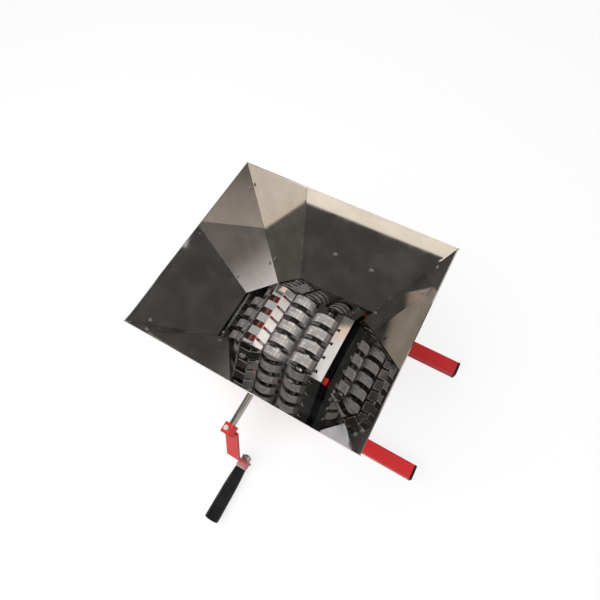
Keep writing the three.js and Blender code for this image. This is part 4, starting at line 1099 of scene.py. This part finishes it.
# Handle: a plated spindle through the arm's boss with a hexagon nut behind, a bright washer, and a black
# moulded grip that turns on the spindle.
ARM_INNER = -191.0
ARM_JOGGLE = 31.5
ARM_THICKNESS = 5.0
BOSS_LENGTH = 7.5
WASHER_THICKNESS = 1.2
WASHER_RADIUS = 10.5
WASHER_CHAMFER = 0.3
SPINDLE_RADIUS = 4.9
SPINDLE_PAST_NUT = 2.0
SPINDLE_BORE = SPINDLE_RADIUS + FIT
NUT_FLATS = 17.0
NUT_HEIGHT = 8.0
NUT_CHAMFER = 1.1
THREAD_PITCH = 1.25
THREAD_DEPTH = 0.5
THREAD_TURNS = 8
THREAD_RUNOUT = 0.3
HEAD_RADIUS = 7.5
# The spindle's domed head: how far its edge is turned in, at each height
HEAD_EDGE = ((0.0, 0.0), (0.0, 2.8), (0.5, 3.6), (1.6, 4.0), (HEAD_RADIUS, 4.0))
GRIP_LENGTH = 95.0
GRIP_RECESS = 5.0
GRIP_NECK = 10.0
GRIP_BELLY = 12.2
GRIP_TAIL = 12.8
GRIP_LIP = 1.0
GRIP_ROUNDING = 3.0
ROUNDING_DEPTH = 1.8
ROUNDING_STEPS = 8
SWELL_STEPS = 28
GRIP_STEPS = 64
# The chamfer round the recess for the spindle's head: across and along
RECESS_EDGE = (0.3, 0.4)

handle_inner = ARM_INNER - ARM_JOGGLE
washer_face = handle_inner - ARM_THICKNESS - BOSS_LENGTH - FIT
grip_start = washer_face - WASHER_THICKNESS - FIT
grip_end = grip_start - GRIP_LENGTH
nut_face = handle_inner + FIT + NUT_HEIGHT
spindle_start = nut_face + SPINDLE_PAST_NUT


def on_handle(y):
    """A place on the handle's axis, turned so that +Z runs out of the machine."""
    return crank_place @ along_shaft(0, y, -CRANK_RADIUS, -1)


spindle = [(0, 0), (SPINDLE_RADIUS - THREAD_DEPTH, 0)]
for thread in range(THREAD_TURNS):
    spindle += [(SPINDLE_RADIUS, (thread + 0.5) * THREAD_PITCH),
                (SPINDLE_RADIUS - THREAD_DEPTH, (thread + 1) * THREAD_PITCH)]
head_start = spindle_start - (grip_end + GRIP_RECESS - FIT)
spindle += [(SPINDLE_RADIUS, THREAD_TURNS * THREAD_PITCH + THREAD_RUNOUT), (SPINDLE_RADIUS, head_start)]
spindle += [(HEAD_RADIUS - inset, head_start + height) for inset, height in HEAD_EDGE]
placed_piece("grip_spindle", [turned(spindle, TURNED_STEPS)], on_handle(spindle_start),
             "drive_roller", zinc_plate, ["handle_spindle"])
placed_piece("grip_nut", [hexagon(NUT_FLATS, NUT_HEIGHT, NUT_CHAMFER, SPINDLE_BORE)], on_handle(nut_face),
             "drive_roller", zinc_plate, ["handle_nut"])
washer = bar_profile(SPINDLE_BORE, WASHER_RADIUS, WASHER_THICKNESS, WASHER_CHAMFER)
placed_piece("grip_washer", [turned(washer, TURNED_STEPS, closed=True)], on_handle(washer_face),
             "drive_roller", bright_zinc, ["handle_washer"])

grip_plastic = black_finish(
    "grip_plastic", (0.009, 0.009, 0.0105, 1), (0.016, 0.016, 0.018, 1), roughness=0.34, pits=700.0)
straight = GRIP_LENGTH - GRIP_ROUNDING - GRIP_LIP
grip = [(SPINDLE_BORE, 0), (GRIP_NECK - GRIP_LIP, 0), (GRIP_NECK - FIT, FIT)]
for i in range(SWELL_STEPS + 1):
    share = i / SWELL_STEPS
    if share < 0.5:
        swell = GRIP_NECK + (GRIP_BELLY - GRIP_NECK) * sin(pi * share)
    else:
        swell = GRIP_BELLY + (GRIP_TAIL - GRIP_BELLY) * (2 * share - 1)
    grip.append((swell, GRIP_LIP + straight * share))
for i in range(1, ROUNDING_STEPS + 1):
    angle = pi / 2 * i / ROUNDING_STEPS
    grip.append((GRIP_TAIL - ROUNDING_DEPTH * (1 - cos(angle)),
                 GRIP_LENGTH - GRIP_ROUNDING * (1 - sin(angle))))
recess = HEAD_RADIUS + FIT
grip += [(recess + RECESS_EDGE[0], GRIP_LENGTH), (recess, GRIP_LENGTH - RECESS_EDGE[1]),
         (recess, GRIP_LENGTH - GRIP_RECESS), (SPINDLE_BORE, GRIP_LENGTH - GRIP_RECESS)]
placed_piece("crank_grip", [turned(grip, GRIP_STEPS, closed=True)], on_handle(grip_start),
             "grip", grip_plastic, ["handle_grip"])

# The rivet and the blades that were copied aren't part of the machine
for spare in [form for form in bpy.data.objects if form.name.endswith("_form")]:
    bpy.data.objects.remove(spare)
